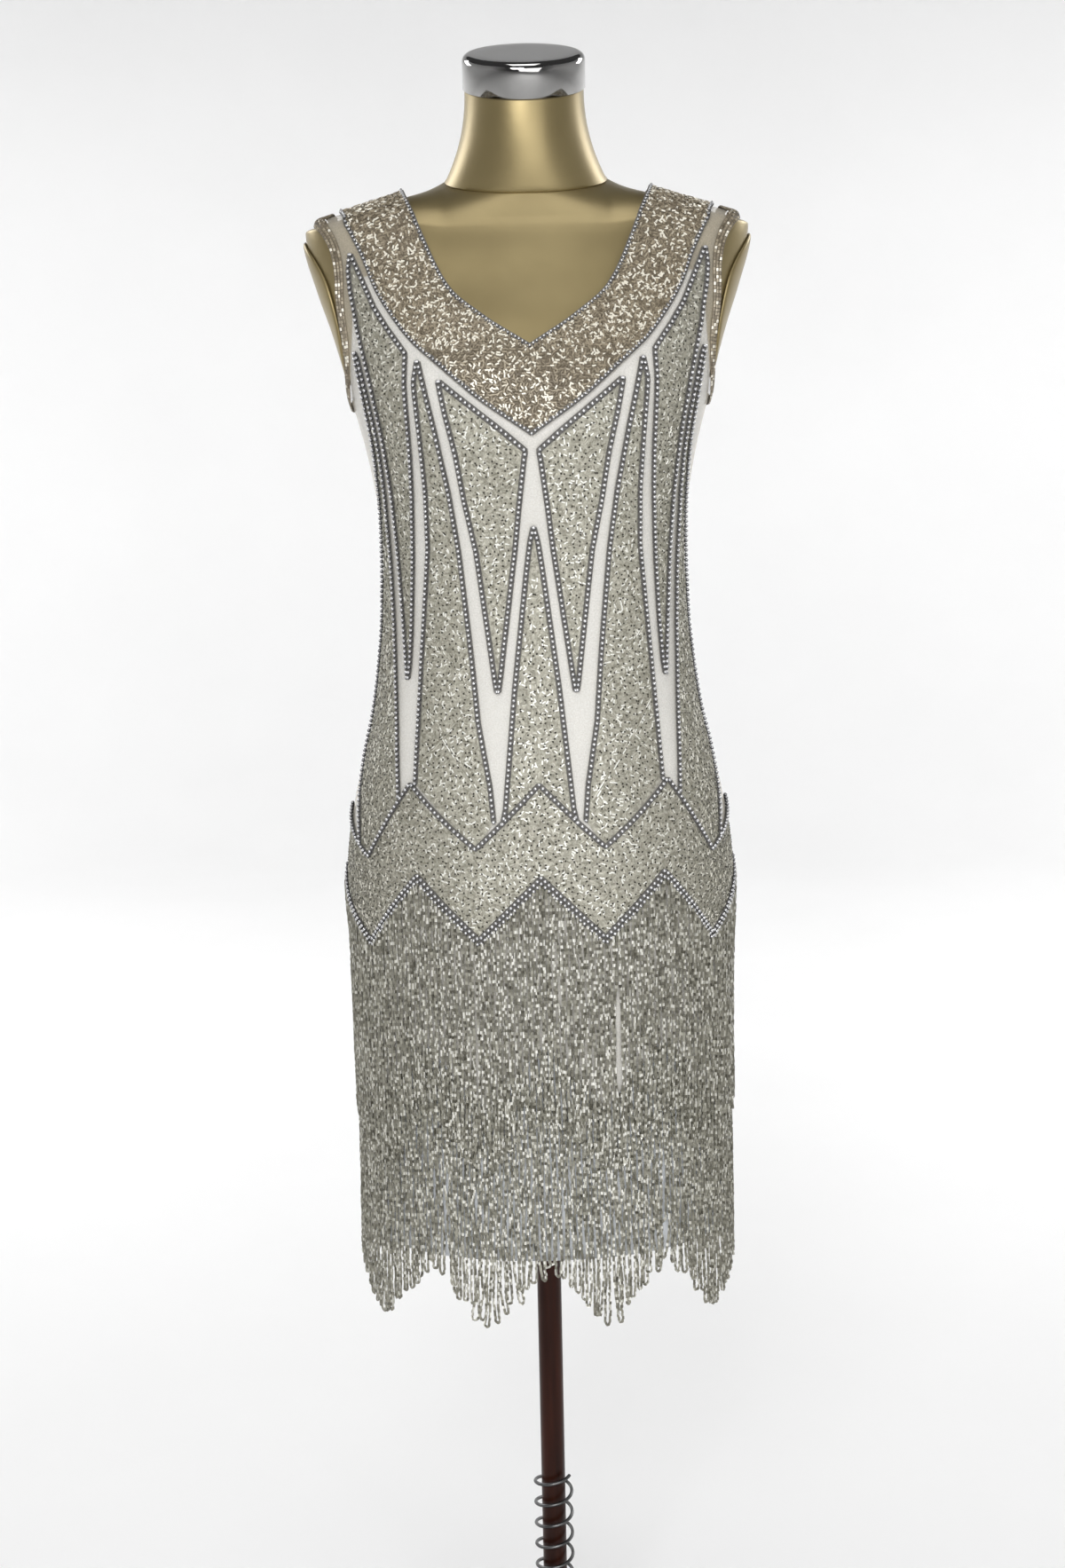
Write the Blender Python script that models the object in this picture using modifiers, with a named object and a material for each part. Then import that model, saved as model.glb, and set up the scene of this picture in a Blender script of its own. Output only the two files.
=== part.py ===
"""Sleeveless beaded net dress with two tiers of bead fringe, worn by a limbless dress form on a pole.

Metres, +Z up. The front faces -Y and +X is the viewer's right. The origin is the centre of the
base's underside. Heights are above the floor that the base stands on.
"""
import math
from collections import namedtuple

import bmesh
import bpy
from mathutils import Vector

COLLECTION = "fringe dress on form"

# Clearances and wall thicknesses
PIECE_GAP = 0.0003
SEAM_GAP = 0.0006
PLATE_LIFT = 0.0010
SLIP_LIFT = 0.0016
SLIP_WALL = 0.0010
NET_LIFT = 0.0038
NET_WALL = 0.0010
STRIP_LIFT = 0.0052
TRIM_LIFT = 0.0060
BINDING_LIFT = 0.0062
BAND_WALL = 0.0015
BINDING_WALL = 0.0012
MERGE_DISTANCE = 0.00001

# Heights of the garment
BASE_LEVEL = 1.247
SHOULDER_TIP_HEIGHT = 1.3865
NECK_SIDE_HEIGHT = 1.4125
NECK_SIDE_HALF_WIDTH = 0.106
SLIP_HEM = 0.506
BACK_NECK_SHARE = 0.60
CLOSEST_ROWS = 0.0025

# Armhole, an oval in the side view, taller and squarer above its widest level than below
ARMHOLE_HEIGHT = 1.305
ARMHOLE_RISE = 0.088
ARMHOLE_DROP = 0.0585
ARMHOLE_HALF_DEPTH = 0.0545
ARMHOLE_TOP_POWER = 3.5
ARMHOLE_FOOT_POWER = 2.2
BINDING_WIDTH = 0.0085
BINDING_INSET = 0.0015

# Arm plates of the form, ovals just inside the armholes
PLATE_HEIGHT = 1.320
PLATE_HALF_HEIGHT = 0.060
PLATE_HALF_DEPTH = 0.046
PLATE_WALL = 0.0022
PLATE_SPOKES = 20
PLATE_RINGS = 3

# Foot of the form, drawn in a little at its edge
FORM_BOTTOM = 0.800
FORM_EDGE_HEIGHT = 0.006
FORM_FOOT_SHARE = 0.970

# Fringe: strands in front or behind, and the narrow strip that holds them
STRANDS_PER_SIDE = 50
POINTS_PER_STRAND = 8
STRIP_HEIGHT = 0.006
STRIP_DEPTH = 0.0016
STRAND_WIDTH = 0.0026
Tier = namedtuple("Tier", "name length flare")
UPPER_TIER = Tier("upper", 0.203, 0.003)
LOWER_TIER = Tier("lower", 0.198, 0.004)

# Resolution
CLOTH_COLUMNS = 13
BAND_COLUMNS = 5
BINDING_STATIONS = 40
ARMHOLE_SAMPLES = 192
FINE_SAMPLES = 48

# Stand
POLE_RADIUS = 0.0112
SPRING_RADIUS = 0.0172
SPRING_WIRE = 0.0016
SPRING_PITCH = 0.0214
SPRING_TOP = 0.245
SPRING_STEPS = 10
BASE_RADIUS = 0.170
BASE_HEIGHT = 0.016
BASE_RIM_HEIGHT = 0.012
BASE_EDGE = 0.006
HUB_RADIUS = 0.024
HUB_HEIGHT = 0.095
HUB_EDGE = 0.002
HUB_FOOT_RADIUS = 0.044
HUB_FOOT_HEIGHT = 0.032

# Neck
NECK_SEAM_SLOPE = 0.30
NECK_SLOPE_START = 1.370
NECK_BARE_INNER = 0.070
NECK_BARE_OUTER = 0.098
NECK_TILT = math.radians(20.0)
NECK_TOP_RADIUS = 0.0498
NECK_TOP = Vector((0.0, -0.016, 1.4990))
NECK_FLARE = 2.2
NECK_RING_SHARES = (0.15, 0.38, 0.68, 1.0)
CAP_RADIUS = 0.0512
CAP_HEIGHT = 0.0285
CAP_EDGE_RADIUS = 0.006
CAP_EDGE_STEPS = 3

# Body sections from the hem of the slip to the neck seam: half width, then depth in front of
# and behind the pole's axis, and how square the section is (2 is an ellipse)
Section = namedtuple("Section", "height half_width front back power")
SECTIONS = [
    Section(0.420, 0.1620, 0.114, 0.116, 2.15),
    Section(0.560, 0.1615, 0.113, 0.115, 2.15),
    Section(0.685, 0.1625, 0.113, 0.116, 2.20),
    Section(0.750, 0.1640, 0.115, 0.118, 2.20),
    Section(0.825, 0.1675, 0.118, 0.121, 2.20),
    Section(0.890, 0.1610, 0.115, 0.116, 2.20),
    Section(0.936, 0.1500, 0.108, 0.104, 2.20),
    Section(0.980, 0.1385, 0.100, 0.092, 2.20),
    Section(1.020, 0.1325, 0.094, 0.084, 2.20),
    Section(1.066, 0.1282, 0.090, 0.080, 2.20),
    Section(1.108, 0.1275, 0.091, 0.080, 2.20),
    Section(1.151, 0.1298, 0.099, 0.084, 2.25),
    Section(1.182, 0.1342, 0.109, 0.088, 2.30),
    Section(1.217, 0.1415, 0.117, 0.093, 2.35),
    Section(1.248, 0.1500, 0.115, 0.096, 2.50),
    Section(1.303, 0.1650, 0.099, 0.096, 2.70),
    Section(1.338, 0.1765, 0.084, 0.090, 2.80),
    Section(1.376, 0.1870, 0.070, 0.079, 2.80),
    Section(1.3865, 0.1880, 0.0658, 0.0745, 2.74),
    Section(1.3930, 0.1690, 0.0630, 0.0712, 2.68),
    Section(1.3970, 0.1560, 0.0613, 0.0690, 2.63),
    Section(1.4125, 0.1060, 0.0555, 0.0595, 2.42),
    Section(1.4260, 0.0690, 0.0510, 0.0490, 2.15),
]

# Front neckline and the outer edge of the beaded neck band
Edge = namedtuple("Edge", "height half_width")
NECKLINE = [
    Edge(1.2826, 0.0000),
    Edge(1.3064, 0.0369),
    Edge(1.3266, 0.0617),
    Edge(1.3383, 0.0697),
    Edge(1.3513, 0.0764),
    Edge(1.3695, 0.0843),
    Edge(1.3920, 0.0938),
    Edge(1.4125, 0.1030),
]
BAND_OUTER = [
    Edge(1.2153, 0.0000),
    Edge(1.2413, 0.0380),
    Edge(1.2689, 0.0704),
    Edge(1.2912, 0.0945),
    Edge(1.3200, 0.1145),
    Edge(1.3400, 0.1242),
    Edge(1.3640, 0.1325),
    Edge(1.3920, 0.1442),
    Edge(1.4125, 0.1545),
]

# Scooped neckline of the slip, and how far its outer edge stands in from the armhole
SlipEdge = namedtuple("SlipEdge", "height neckline armhole_inset")
SLIP_EDGES = [
    SlipEdge(1.217, 0.000, 0.000),
    SlipEdge(1.247, 0.046, 0.000),
    SlipEdge(1.2826, 0.087, 0.002),
    SlipEdge(1.320, 0.113, 0.008),
    SlipEdge(1.350, 0.126, 0.012),
]

# Corners of the two zigzags that the fringe hangs from, between the middle and the side seam:
# the cloth's column where each lies, and its height on the upper and on the lower tier
Corner = namedtuple("Corner", "column upper lower")
ZIGZAG = [
    Corner(0, 0.842, 0.702),
    Corner(3, 0.789, 0.643),
    Corner(6, 0.842, 0.698),
    Corner(9, 0.779, 0.636),
    Corner(13, 0.832, 0.680),
]

# Levels where the cloth's rows lie. Above BASE_LEVEL a level is measured at the neck's side,
# and the row slopes with the shoulder.
BODY_LEVELS = [0.80, 0.87, 0.94, 1.015, 1.09, 1.16, 1.217, BASE_LEVEL]
SHOULDER_LEVELS = [1.256, 1.2826, 1.307, 1.332, 1.356, 1.378, 1.396, 1.408, NECK_SIDE_HEIGHT]
FORM_TOP_LEVELS = [1.256, 1.2826, 1.307, 1.332, 1.356, 1.376, 1.3865, 1.3915, 1.3970, 1.4045, 1.4125, 1.4195]
SLIP_TOP_LEVELS = [1.217, BASE_LEVEL, 1.256, 1.2826, 1.307, 1.332, 1.350]
SLIP_SKIRT_LEVELS = [SLIP_HEM, 0.685, 0.73]
NET_SKIRT_LEVELS = [0.73]
BAND_TIP_LEVELS = [1.2170, 1.232, BASE_LEVEL]

COLOURS = {
    "form_gold": ((0.42, 0.34, 0.16, 1.0), 0.38, 0.75),
    "slip_satin": ((0.85, 0.85, 0.82, 1.0), 0.55, 0.0),
    "net_cloth": ((0.62, 0.58, 0.48, 1.0), 0.70, 0.0),
    "bead_trim": ((0.45, 0.40, 0.30, 1.0), 0.35, 0.3),
    "bead_fringe": ((0.52, 0.47, 0.38, 1.0), 0.35, 0.3),
    "chrome": ((0.80, 0.80, 0.80, 1.0), 0.08, 1.0),
    "mahogany": ((0.14, 0.03, 0.01, 1.0), 0.22, 0.0),
    "spring_steel": ((0.22, 0.22, 0.22, 1.0), 0.38, 1.0),
    "base_enamel": ((0.03, 0.03, 0.03, 1.0), 0.35, 0.0),
}


def clear_scene():
    for existing in list(bpy.data.objects):
        bpy.data.objects.remove(existing, do_unlink=True)


def make_material(name):
    colour, roughness, metallic = COLOURS[name]
    material = bpy.data.materials.get(name) or bpy.data.materials.new(name)
    material.use_nodes = True
    shader = material.node_tree.nodes["Principled BSDF"]
    shader.inputs["Base Color"].default_value = colour
    shader.inputs["Roughness"].default_value = roughness
    shader.inputs["Metallic"].default_value = metallic
    return material


def link_object(name, mesh, material_name):
    piece = bpy.data.objects.new(name, mesh)
    piece.data.materials.append(make_material(material_name))
    bpy.data.collections[COLLECTION].objects.link(piece)
    return piece


def mesh_object(name, points, faces, material_name):
    """Object from points and faces, with its faces turned the same way and shaded smooth."""
    mesh = bpy.data.meshes.new(name)
    mesh.from_pydata([tuple(point) for point in points], [], faces)
    work = bmesh.new()
    work.from_mesh(mesh)
    bmesh.ops.remove_doubles(work, verts=work.verts, dist=1e-6)
    work.to_mesh(mesh)
    work.free()
    mesh.shade_smooth()
    return link_object(name, mesh, material_name)


# Smooth curves through the tables


def table_value(table, column, height):
    """A column's value at a height, on a curve through its rows that never overshoots them."""
    heights = [row.height for row in table]
    values = [getattr(row, column) for row in table]
    if height <= heights[0]:
        return values[0]
    if height >= heights[-1]:
        return values[-1]
    index = max(i for i, start in enumerate(heights[:-1]) if start <= height)
    span = heights[index + 1] - heights[index]
    share = (height - heights[index]) / span
    slope_low = row_slope(heights, values, index)
    slope_high = row_slope(heights, values, index + 1)
    square, cube = share ** 2, share ** 3
    return (values[index] * (2 * cube - 3 * square + 1)
            + slope_low * span * (cube - 2 * square + share)
            + values[index + 1] * (3 * square - 2 * cube)
            + slope_high * span * (cube - square))


def row_slope(heights, values, index):
    """Slope of a table's curve at one of its rows, zero where the values turn back."""
    if index == 0:
        return (values[1] - values[0]) / (heights[1] - heights[0])
    if index == len(values) - 1:
        return (values[-1] - values[-2]) / (heights[-1] - heights[-2])
    before = (values[index] - values[index - 1]) / (heights[index] - heights[index - 1])
    after = (values[index + 1] - values[index]) / (heights[index + 1] - heights[index])
    if before * after <= 0:
        return 0.0
    return 2 * before * after / (before + after)


# The body's skin, which every layer of cloth is lifted from


def half_width_at(height):
    return table_value(SECTIONS, "half_width", height)


def skin_depth(half_width_share, height, side):
    column = "front" if side < 0 else "back"
    power = table_value(SECTIONS, "power", height)
    inside = max(0.0, 1.0 - half_width_share ** power)
    return side * table_value(SECTIONS, column, height) * inside ** (1.0 / power)


def skin_point(x, height, side):
    """Point of the skin at a distance from the middle and a height, in front (-1) or behind (+1)."""
    half_width = table_value(SECTIONS, "half_width", height)
    x = min(x, half_width)
    return Vector((x, skin_depth(x / half_width, height, side), height))


def skin_excess(point):
    """Zero on the skin, above zero outside it."""
    half_width = table_value(SECTIONS, "half_width", point.z)
    depth = table_value(SECTIONS, "front" if point.y < 0 else "back", point.z)
    power = table_value(SECTIONS, "power", point.z)
    return ((abs(point.x) / half_width) ** power + (abs(point.y) / depth) ** power) ** (1 / power) - 1


def skin_gradient(point):
    step = 0.0002
    axes = (Vector((step, 0, 0)), Vector((0, step, 0)), Vector((0, 0, step)))
    return Vector([(skin_excess(point + axis) - skin_excess(point - axis)) / (2 * step) for axis in axes])


def to_skin(point):
    """Nearest point of the skin, found in a few short steps."""
    for _ in range(8):
        slope = skin_gradient(point)
        point = point - slope * (skin_excess(point) / slope.length_squared)
    return point


def lifted(point, lift):
    return point + skin_gradient(point).normalized() * lift


def off_seam(point, side):
    """Keeps a front or back piece clear of the seam plane that it shares with its neighbour."""
    if side * point.y < SEAM_GAP / 2:
        point = Vector((point.x, side * SEAM_GAP / 2, point.z))
    return point


def shoulder_height(x):
    """Height of the shoulder's ridge at a distance from the middle."""
    if x <= NECK_SIDE_HALF_WIDTH:
        return NECK_SIDE_HEIGHT
    low, high = SHOULDER_TIP_HEIGHT, NECK_SIDE_HEIGHT
    for _ in range(30):
        middle = (low + high) / 2
        if table_value(SECTIONS, "half_width", middle) > x:
            low = middle
        else:
            high = middle
    return (low + high) / 2


def row_height(level, x):
    """Height of a cloth row at a distance from the middle, level below the armholes."""
    if level <= BASE_LEVEL:
        return level
    share = (level - BASE_LEVEL) / (NECK_SIDE_HEIGHT - BASE_LEVEL)
    return BASE_LEVEL + share * (shoulder_height(x) - BASE_LEVEL)


def even_points(points, count):
    """Points spaced evenly along a line of points."""
    lengths = [0.0]
    for start, end in zip(points, points[1:]):
        lengths.append(lengths[-1] + (end - start).length)
    result = []
    index = 0
    for step in range(count + 1):
        target = lengths[-1] * step / count
        while index < len(points) - 2 and lengths[index + 1] < target:
            index += 1
        span = lengths[index + 1] - lengths[index]
        share = (target - lengths[index]) / span if span > 0 else 0.0
        result.append(points[index].lerp(points[index + 1], share))
    return result


def skin_row(level, inner, outer, side, columns):
    """Evenly spaced points of one cloth row between two distances from the middle."""
    fine = []
    for sample in range(FINE_SAMPLES + 1):
        share = math.sin(math.pi / 2 * sample / FINE_SAMPLES)
        x = inner + (outer - inner) * share
        fine.append(skin_point(x, row_height(level, x), side))
    return even_points(fine, columns)


# Edges of the pieces


def neck_drop(height, side):
    """Height in the front's neckline table that stands for a height on either side."""
    if side < 0:
        return height
    return NECK_SIDE_HEIGHT - (NECK_SIDE_HEIGHT - height) / BACK_NECK_SHARE


def neckline_x(level, side):
    return table_value(NECKLINE, "half_width", neck_drop(level, side))


def band_outer_x(level, side):
    return table_value(BAND_OUTER, "half_width", neck_drop(level, side))


def armhole_depth(height, grow):
    """Half depth of the armhole at a height, zero beyond its ends."""
    above = height > ARMHOLE_HEIGHT
    reach = (ARMHOLE_RISE if above else ARMHOLE_DROP) + grow
    power = ARMHOLE_TOP_POWER if above else ARMHOLE_FOOT_POWER
    share = min(1.0, abs(height - ARMHOLE_HEIGHT) / reach)
    return (ARMHOLE_HALF_DEPTH + grow) * (1 - share ** power) ** (1 / power)


def armhole_x(level, side, grow):
    """Distance from the middle of the armhole's edge, which is an oval in the side view."""
    if level <= BASE_LEVEL:
        return half_width_at(level)
    top = ARMHOLE_HEIGHT + ARMHOLE_RISE
    share = (level - BASE_LEVEL) / (NECK_SIDE_HEIGHT - BASE_LEVEL)
    height = BASE_LEVEL + share * (top - BASE_LEVEL)
    power = table_value(SECTIONS, "power", height)
    depth = table_value(SECTIONS, "front" if side < 0 else "back", height)
    depth_share = armhole_depth(height, grow) / depth
    return half_width_at(height) * (1 - depth_share ** power) ** (1 / power)


# Cloth walls


def wall_from_rows(name, rows, wall, material_name):
    """Cloth wall from rows of points that start at the middle: half a sheet, mirrored and thickened."""
    width = len(rows[0])
    points = [point for row in rows for point in row]
    faces = []
    for low in range(len(rows) - 1):
        for column in range(width - 1):
            corner = low * width + column
            faces.append((corner, corner + 1, corner + width + 1, corner + width))
    piece = mesh_object(name, points, faces, material_name)
    face_away_from_axis(piece.data)
    mirror = piece.modifiers.new("other half", "MIRROR")
    mirror.merge_threshold = MERGE_DISTANCE
    solid = piece.modifiers.new("thickness", "SOLIDIFY")
    solid.thickness = wall
    solid.offset = 1.0
    return piece


def face_away_from_axis(mesh):
    """Turns a sheet so that its faces point away from the pole's axis."""
    work = bmesh.new()
    work.from_mesh(mesh)
    work.normal_update()
    turned = 0.0
    for face in work.faces:
        centre = face.calc_center_median()
        turned += face.normal.dot(skin_gradient(centre)) * face.calc_area()
    if turned < 0:
        bmesh.ops.reverse_faces(work, faces=work.faces)
    work.to_mesh(mesh)
    work.free()


def cloth_rows(levels, side, columns, lift, inner_of, outer_of):
    rows = []
    for level in levels:
        row = skin_row(level, inner_of(level), outer_of(level), side, columns)
        rows.append([off_seam(lifted(point, lift), side) for point in row])
    return rows


def zigzag(share, tier):
    """Height of a tier's zigzag at a share of the way from the middle to the side seam."""
    column = share * CLOTH_COLUMNS
    start, end = next(pair for pair in zip(ZIGZAG, ZIGZAG[1:]) if column <= pair[1].column)
    along = (column - start.column) / (end.column - start.column)
    return getattr(start, tier.name) * (1 - along) + getattr(end, tier.name) * along


def zigzag_row(side, columns, tier):
    """Hem row along a tier's zigzag, from the middle to the side seam."""
    row = []
    for column in range(columns + 1):
        share = column / columns
        height = zigzag(share, tier)
        half_width = table_value(SECTIONS, "half_width", height)
        row.append(skin_row(height, 0.0, half_width, side, columns)[column])
    return row


def build_net(name, side):
    """Outer net panel, from the shoulder and the neckline to the zigzag where the lower tier hangs."""
    hem = [off_seam(lifted(point, NET_LIFT), side) for point in zigzag_row(side, CLOTH_COLUMNS, LOWER_TIER)]
    body = cloth_rows(NET_SKIRT_LEVELS + BODY_LEVELS, side, CLOTH_COLUMNS, NET_LIFT,
                      lambda level: 0.0, half_width_at)
    shoulder = cloth_rows(SHOULDER_LEVELS, side, CLOTH_COLUMNS, NET_LIFT,
                          lambda level: neckline_x(level, side),
                          lambda level: armhole_x(level, side, BINDING_INSET))
    return wall_from_rows(name, [hem] + body + shoulder, NET_WALL, "net_cloth")


def build_slip(name, side):
    """White slip panel under the net, with a scooped neckline and a straight hem."""
    body_levels = SLIP_SKIRT_LEVELS + [level for level in BODY_LEVELS if level < SLIP_TOP_LEVELS[0]]
    body = cloth_rows(body_levels, side, CLOTH_COLUMNS, SLIP_LIFT, lambda level: 0.0, half_width_at)

    def inner(level):
        return table_value(SLIP_EDGES, "neckline", level)

    def outer(level):
        return armhole_x(level, side, BINDING_INSET) - table_value(SLIP_EDGES, "armhole_inset", level)

    top = cloth_rows(SLIP_TOP_LEVELS, side, CLOTH_COLUMNS, SLIP_LIFT, inner, outer)
    return wall_from_rows(name, body + top, SLIP_WALL, "slip_satin")


def build_neck_band(name, side):
    """Beaded band that lies on the net along the neckline and meets in a point at the middle."""
    lowest = neck_band_height(BAND_TIP_LEVELS[0], side)
    tip_levels = [neck_band_height(level, side) for level in BAND_TIP_LEVELS]
    levels = [level for level in sorted(set(tip_levels + BODY_LEVELS + SHOULDER_LEVELS)) if level >= lowest]
    levels = without_close_levels(levels)
    rows = cloth_rows(levels, side, BAND_COLUMNS, TRIM_LIFT,
                      lambda level: neckline_x(level, side),
                      lambda level: band_outer_x(level, side))
    return wall_from_rows(name, rows, BAND_WALL, "bead_trim")


def neck_band_height(level, side):
    if side < 0:
        return level
    return NECK_SIDE_HEIGHT - (NECK_SIDE_HEIGHT - level) * BACK_NECK_SHARE


def without_close_levels(levels):
    """Drops a level that lies within a few millimetres of the one before it, but not the last one."""
    kept = [levels[0]]
    for level in levels[1:]:
        if level - kept[-1] > CLOSEST_ROWS or level == levels[-1]:
            kept.append(level)
    return kept


def armhole_path(side_x):
    """Edge of the armhole all round, on the skin, from the shoulder down the front and up the back."""
    fine = []
    for step in range(ARMHOLE_SAMPLES + 1):
        angle = 2 * math.pi * step / ARMHOLE_SAMPLES
        rise = math.cos(angle)
        height = ARMHOLE_HEIGHT + (ARMHOLE_RISE if rise > 0 else ARMHOLE_DROP) * rise
        y = math.copysign(armhole_depth(height, 0.0), -math.sin(angle))
        depth = table_value(SECTIONS, "front" if y < 0 else "back", height)
        power = table_value(SECTIONS, "power", height)
        x = half_width_at(height) * (1 - (abs(y) / depth) ** power) ** (1 / power)
        fine.append(Vector((side_x * x, y, height)))
    return even_points(fine, BINDING_STATIONS)[:-1]


def build_binding(name, side_x):
    """Beaded binding round one armhole: a closed ring that lies on the net's edge."""
    path = armhole_path(side_x)
    centre = sum(path, Vector()) / len(path)
    count = len(path)
    rings = []
    for share in (0.0, 0.5, 1.0):
        ring = []
        for station, point in enumerate(path):
            along = (path[(station + 1) % count] - path[station - 1]).normalized()
            across = along.cross(skin_gradient(point).normalized()).normalized()
            if across.dot(point - centre) < 0:
                across = -across
            ring.append(lifted(to_skin(point + across * BINDING_WIDTH * share), BINDING_LIFT))
        rings.append(ring)
    points = [point for ring in rings for point in ring]
    faces = []
    for ring in range(len(rings) - 1):
        for station in range(count):
            following = (station + 1) % count
            faces.append((ring * count + station, ring * count + following,
                          (ring + 1) * count + following, (ring + 1) * count + station))
    piece = mesh_object(name, points, faces, "bead_trim")
    face_away_from_axis(piece.data)
    solid = piece.modifiers.new("thickness", "SOLIDIFY")
    solid.thickness = BINDING_WALL
    solid.offset = 1.0
    return piece


# Fringe


def fringe_root(share, side, tier, rise):
    """Point of the strip at a share from the left seam to the right one, above the zigzag by rise."""
    from_middle = abs(2 * share - 1)
    height = zigzag(from_middle, tier) + rise
    row = skin_row(height, 0.0, half_width_at(height), side, 2 * STRANDS_PER_SIDE)
    point = row[round(from_middle * 2 * STRANDS_PER_SIDE)].copy()
    point.x = math.copysign(point.x, share - 0.5)
    return lifted(point, STRIP_LIFT)


def build_fringe(name, side, tier):
    """One tier of fringe: three-sided strands that hang from a narrow zigzag strip."""
    points = []
    faces = []
    shares = [(index + 0.5) / STRANDS_PER_SIDE for index in range(STRANDS_PER_SIDE)]
    roots = [fringe_root(share, side, tier, 0.0) for share in shares]
    tops = [fringe_root(share, side, tier, STRIP_HEIGHT) for share in shares]
    for index, (root, top) in enumerate(zip(roots, tops)):
        before = roots[max(index - 1, 0)]
        after = roots[min(index + 1, len(roots) - 1)]
        along = Vector((after.x - before.x, after.y - before.y, 0.0)).normalized() * (STRAND_WIDTH / 2)
        away = Vector((root.x, root.y, 0.0)).normalized()
        out = away * STRIP_DEPTH
        drop = away * tier.flare - Vector((0.0, 0.0, tier.length))
        points += [top, top + out, root - along, root + along, root + out]
        points += [root - along + drop, root + along + drop, root + out + drop]
    step = POINTS_PER_STRAND
    for index in range(len(roots)):
        strand = range(step * index, step * (index + 1))
        top_in, top_out, left, right, front, low_left, low_right, low_front = strand
        faces += [(top_in, left, right)]
        faces += [(left, low_left, low_right, right), (right, low_right, low_front, front)]
        faces += [(front, low_front, low_left, left), (low_left, low_front, low_right)]
        if index + 1 < len(roots):
            faces += [(top_in, right, left + step, top_in + step)]
            faces += [(top_out, top_out + step, front + step, front)]
            faces += [(top_in, top_in + step, top_out + step, top_out)]
            faces += [(right, front, front + step, left + step)]
    last = step * (len(roots) - 1)
    faces += [(0, 1, 4, 2), (last, last + 3, last + 4, last + 1)]
    piece = mesh_object(name, points, faces, "bead_fringe")
    work = bmesh.new()
    work.from_mesh(piece.data)
    bmesh.ops.recalc_face_normals(work, faces=work.faces)
    work.to_mesh(piece.data)
    work.free()
    return piece


# Dress form and stand


def ring_points(level, columns):
    """Closed ring of a body section, evenly spaced from the middle of the front."""
    front = skin_row(level, 0.0, half_width_at(level), -1, columns)
    back = skin_row(level, 0.0, half_width_at(level), 1, columns)
    right = front[:-1] + [Vector((half_width_at(level), 0.0, level))] + back[-2::-1]
    left = [Vector((-point.x, point.y, point.z)) for point in right[-2:0:-1]]
    return right + left


def loft(name, rings, material_name):
    """Closed solid through rings of equal count, with flat ends."""
    count = len(rings[0])
    points = [point for ring in rings for point in ring]
    faces = [tuple(range(count)), tuple(range((len(rings) - 1) * count, len(rings) * count))]
    for ring in range(len(rings) - 1):
        for station in range(count):
            following = (station + 1) % count
            faces.append((ring * count + station, ring * count + following,
                          (ring + 1) * count + following, (ring + 1) * count + station))
    piece = mesh_object(name, points, faces, material_name)
    work = bmesh.new()
    work.from_mesh(piece.data)
    bmesh.ops.recalc_face_normals(work, faces=work.faces)
    work.to_mesh(piece.data)
    work.free()
    piece.data.set_sharp_from_angle(angle=math.radians(40))
    return piece


def torso_ring(level):
    """Ring of the form. Near the neck it tips forward, but only inside the garment's neckline."""
    rise = max(0.0, (level - NECK_SLOPE_START) / (SECTIONS[-1].height - NECK_SLOPE_START)) ** 2
    ring = []
    for point in ring_points(level, CLOTH_COLUMNS):
        bare = min(1.0, max(0.0, (NECK_BARE_OUTER - abs(point.x)) / (NECK_BARE_OUTER - NECK_BARE_INNER)))
        ring.append(Vector((point.x, point.y, point.z + NECK_SEAM_SLOPE * rise * bare * point.y)))
    return ring


def neck_seam(height_shift):
    """Ring where the neck meets the torso, lower in front than behind."""
    return [point + Vector((0.0, 0.0, height_shift)) for point in torso_ring(SECTIONS[-1].height)]


def build_torso():
    levels = BODY_LEVELS[1:] + FORM_TOP_LEVELS
    lowest = ring_points(FORM_BOTTOM, CLOTH_COLUMNS)
    foot = [Vector((point.x * FORM_FOOT_SHARE, point.y * FORM_FOOT_SHARE, FORM_BOTTOM)) for point in lowest]
    edge = [Vector((point.x, point.y, FORM_BOTTOM + FORM_EDGE_HEIGHT)) for point in lowest]
    rings = [foot, edge] + [torso_ring(level) for level in levels]
    return loft("form_torso", rings + [neck_seam(0.0)], "form_gold")


def build_neck():
    """Neck between the tilted seam and the round, tilted seat of the cap."""
    base = neck_seam(PIECE_GAP)
    count = len(base)
    top = []
    for station in range(count):
        angle = 2 * math.pi * station / count
        x = NECK_TOP_RADIUS * math.sin(angle)
        y = -NECK_TOP_RADIUS * math.cos(angle)
        top.append(NECK_TOP + Vector((x, y * math.cos(NECK_TILT), y * math.sin(NECK_TILT))))
    rings = [base]
    for share in NECK_RING_SHARES:
        pull = 1 - (1 - share) ** NECK_FLARE
        rings.append([Vector((low.x + (high.x - low.x) * pull, low.y + (high.y - low.y) * pull,
                              low.z + (high.z - low.z) * share)) for low, high in zip(base, top)])
    return loft("form_neck", rings, "form_gold")


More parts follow.
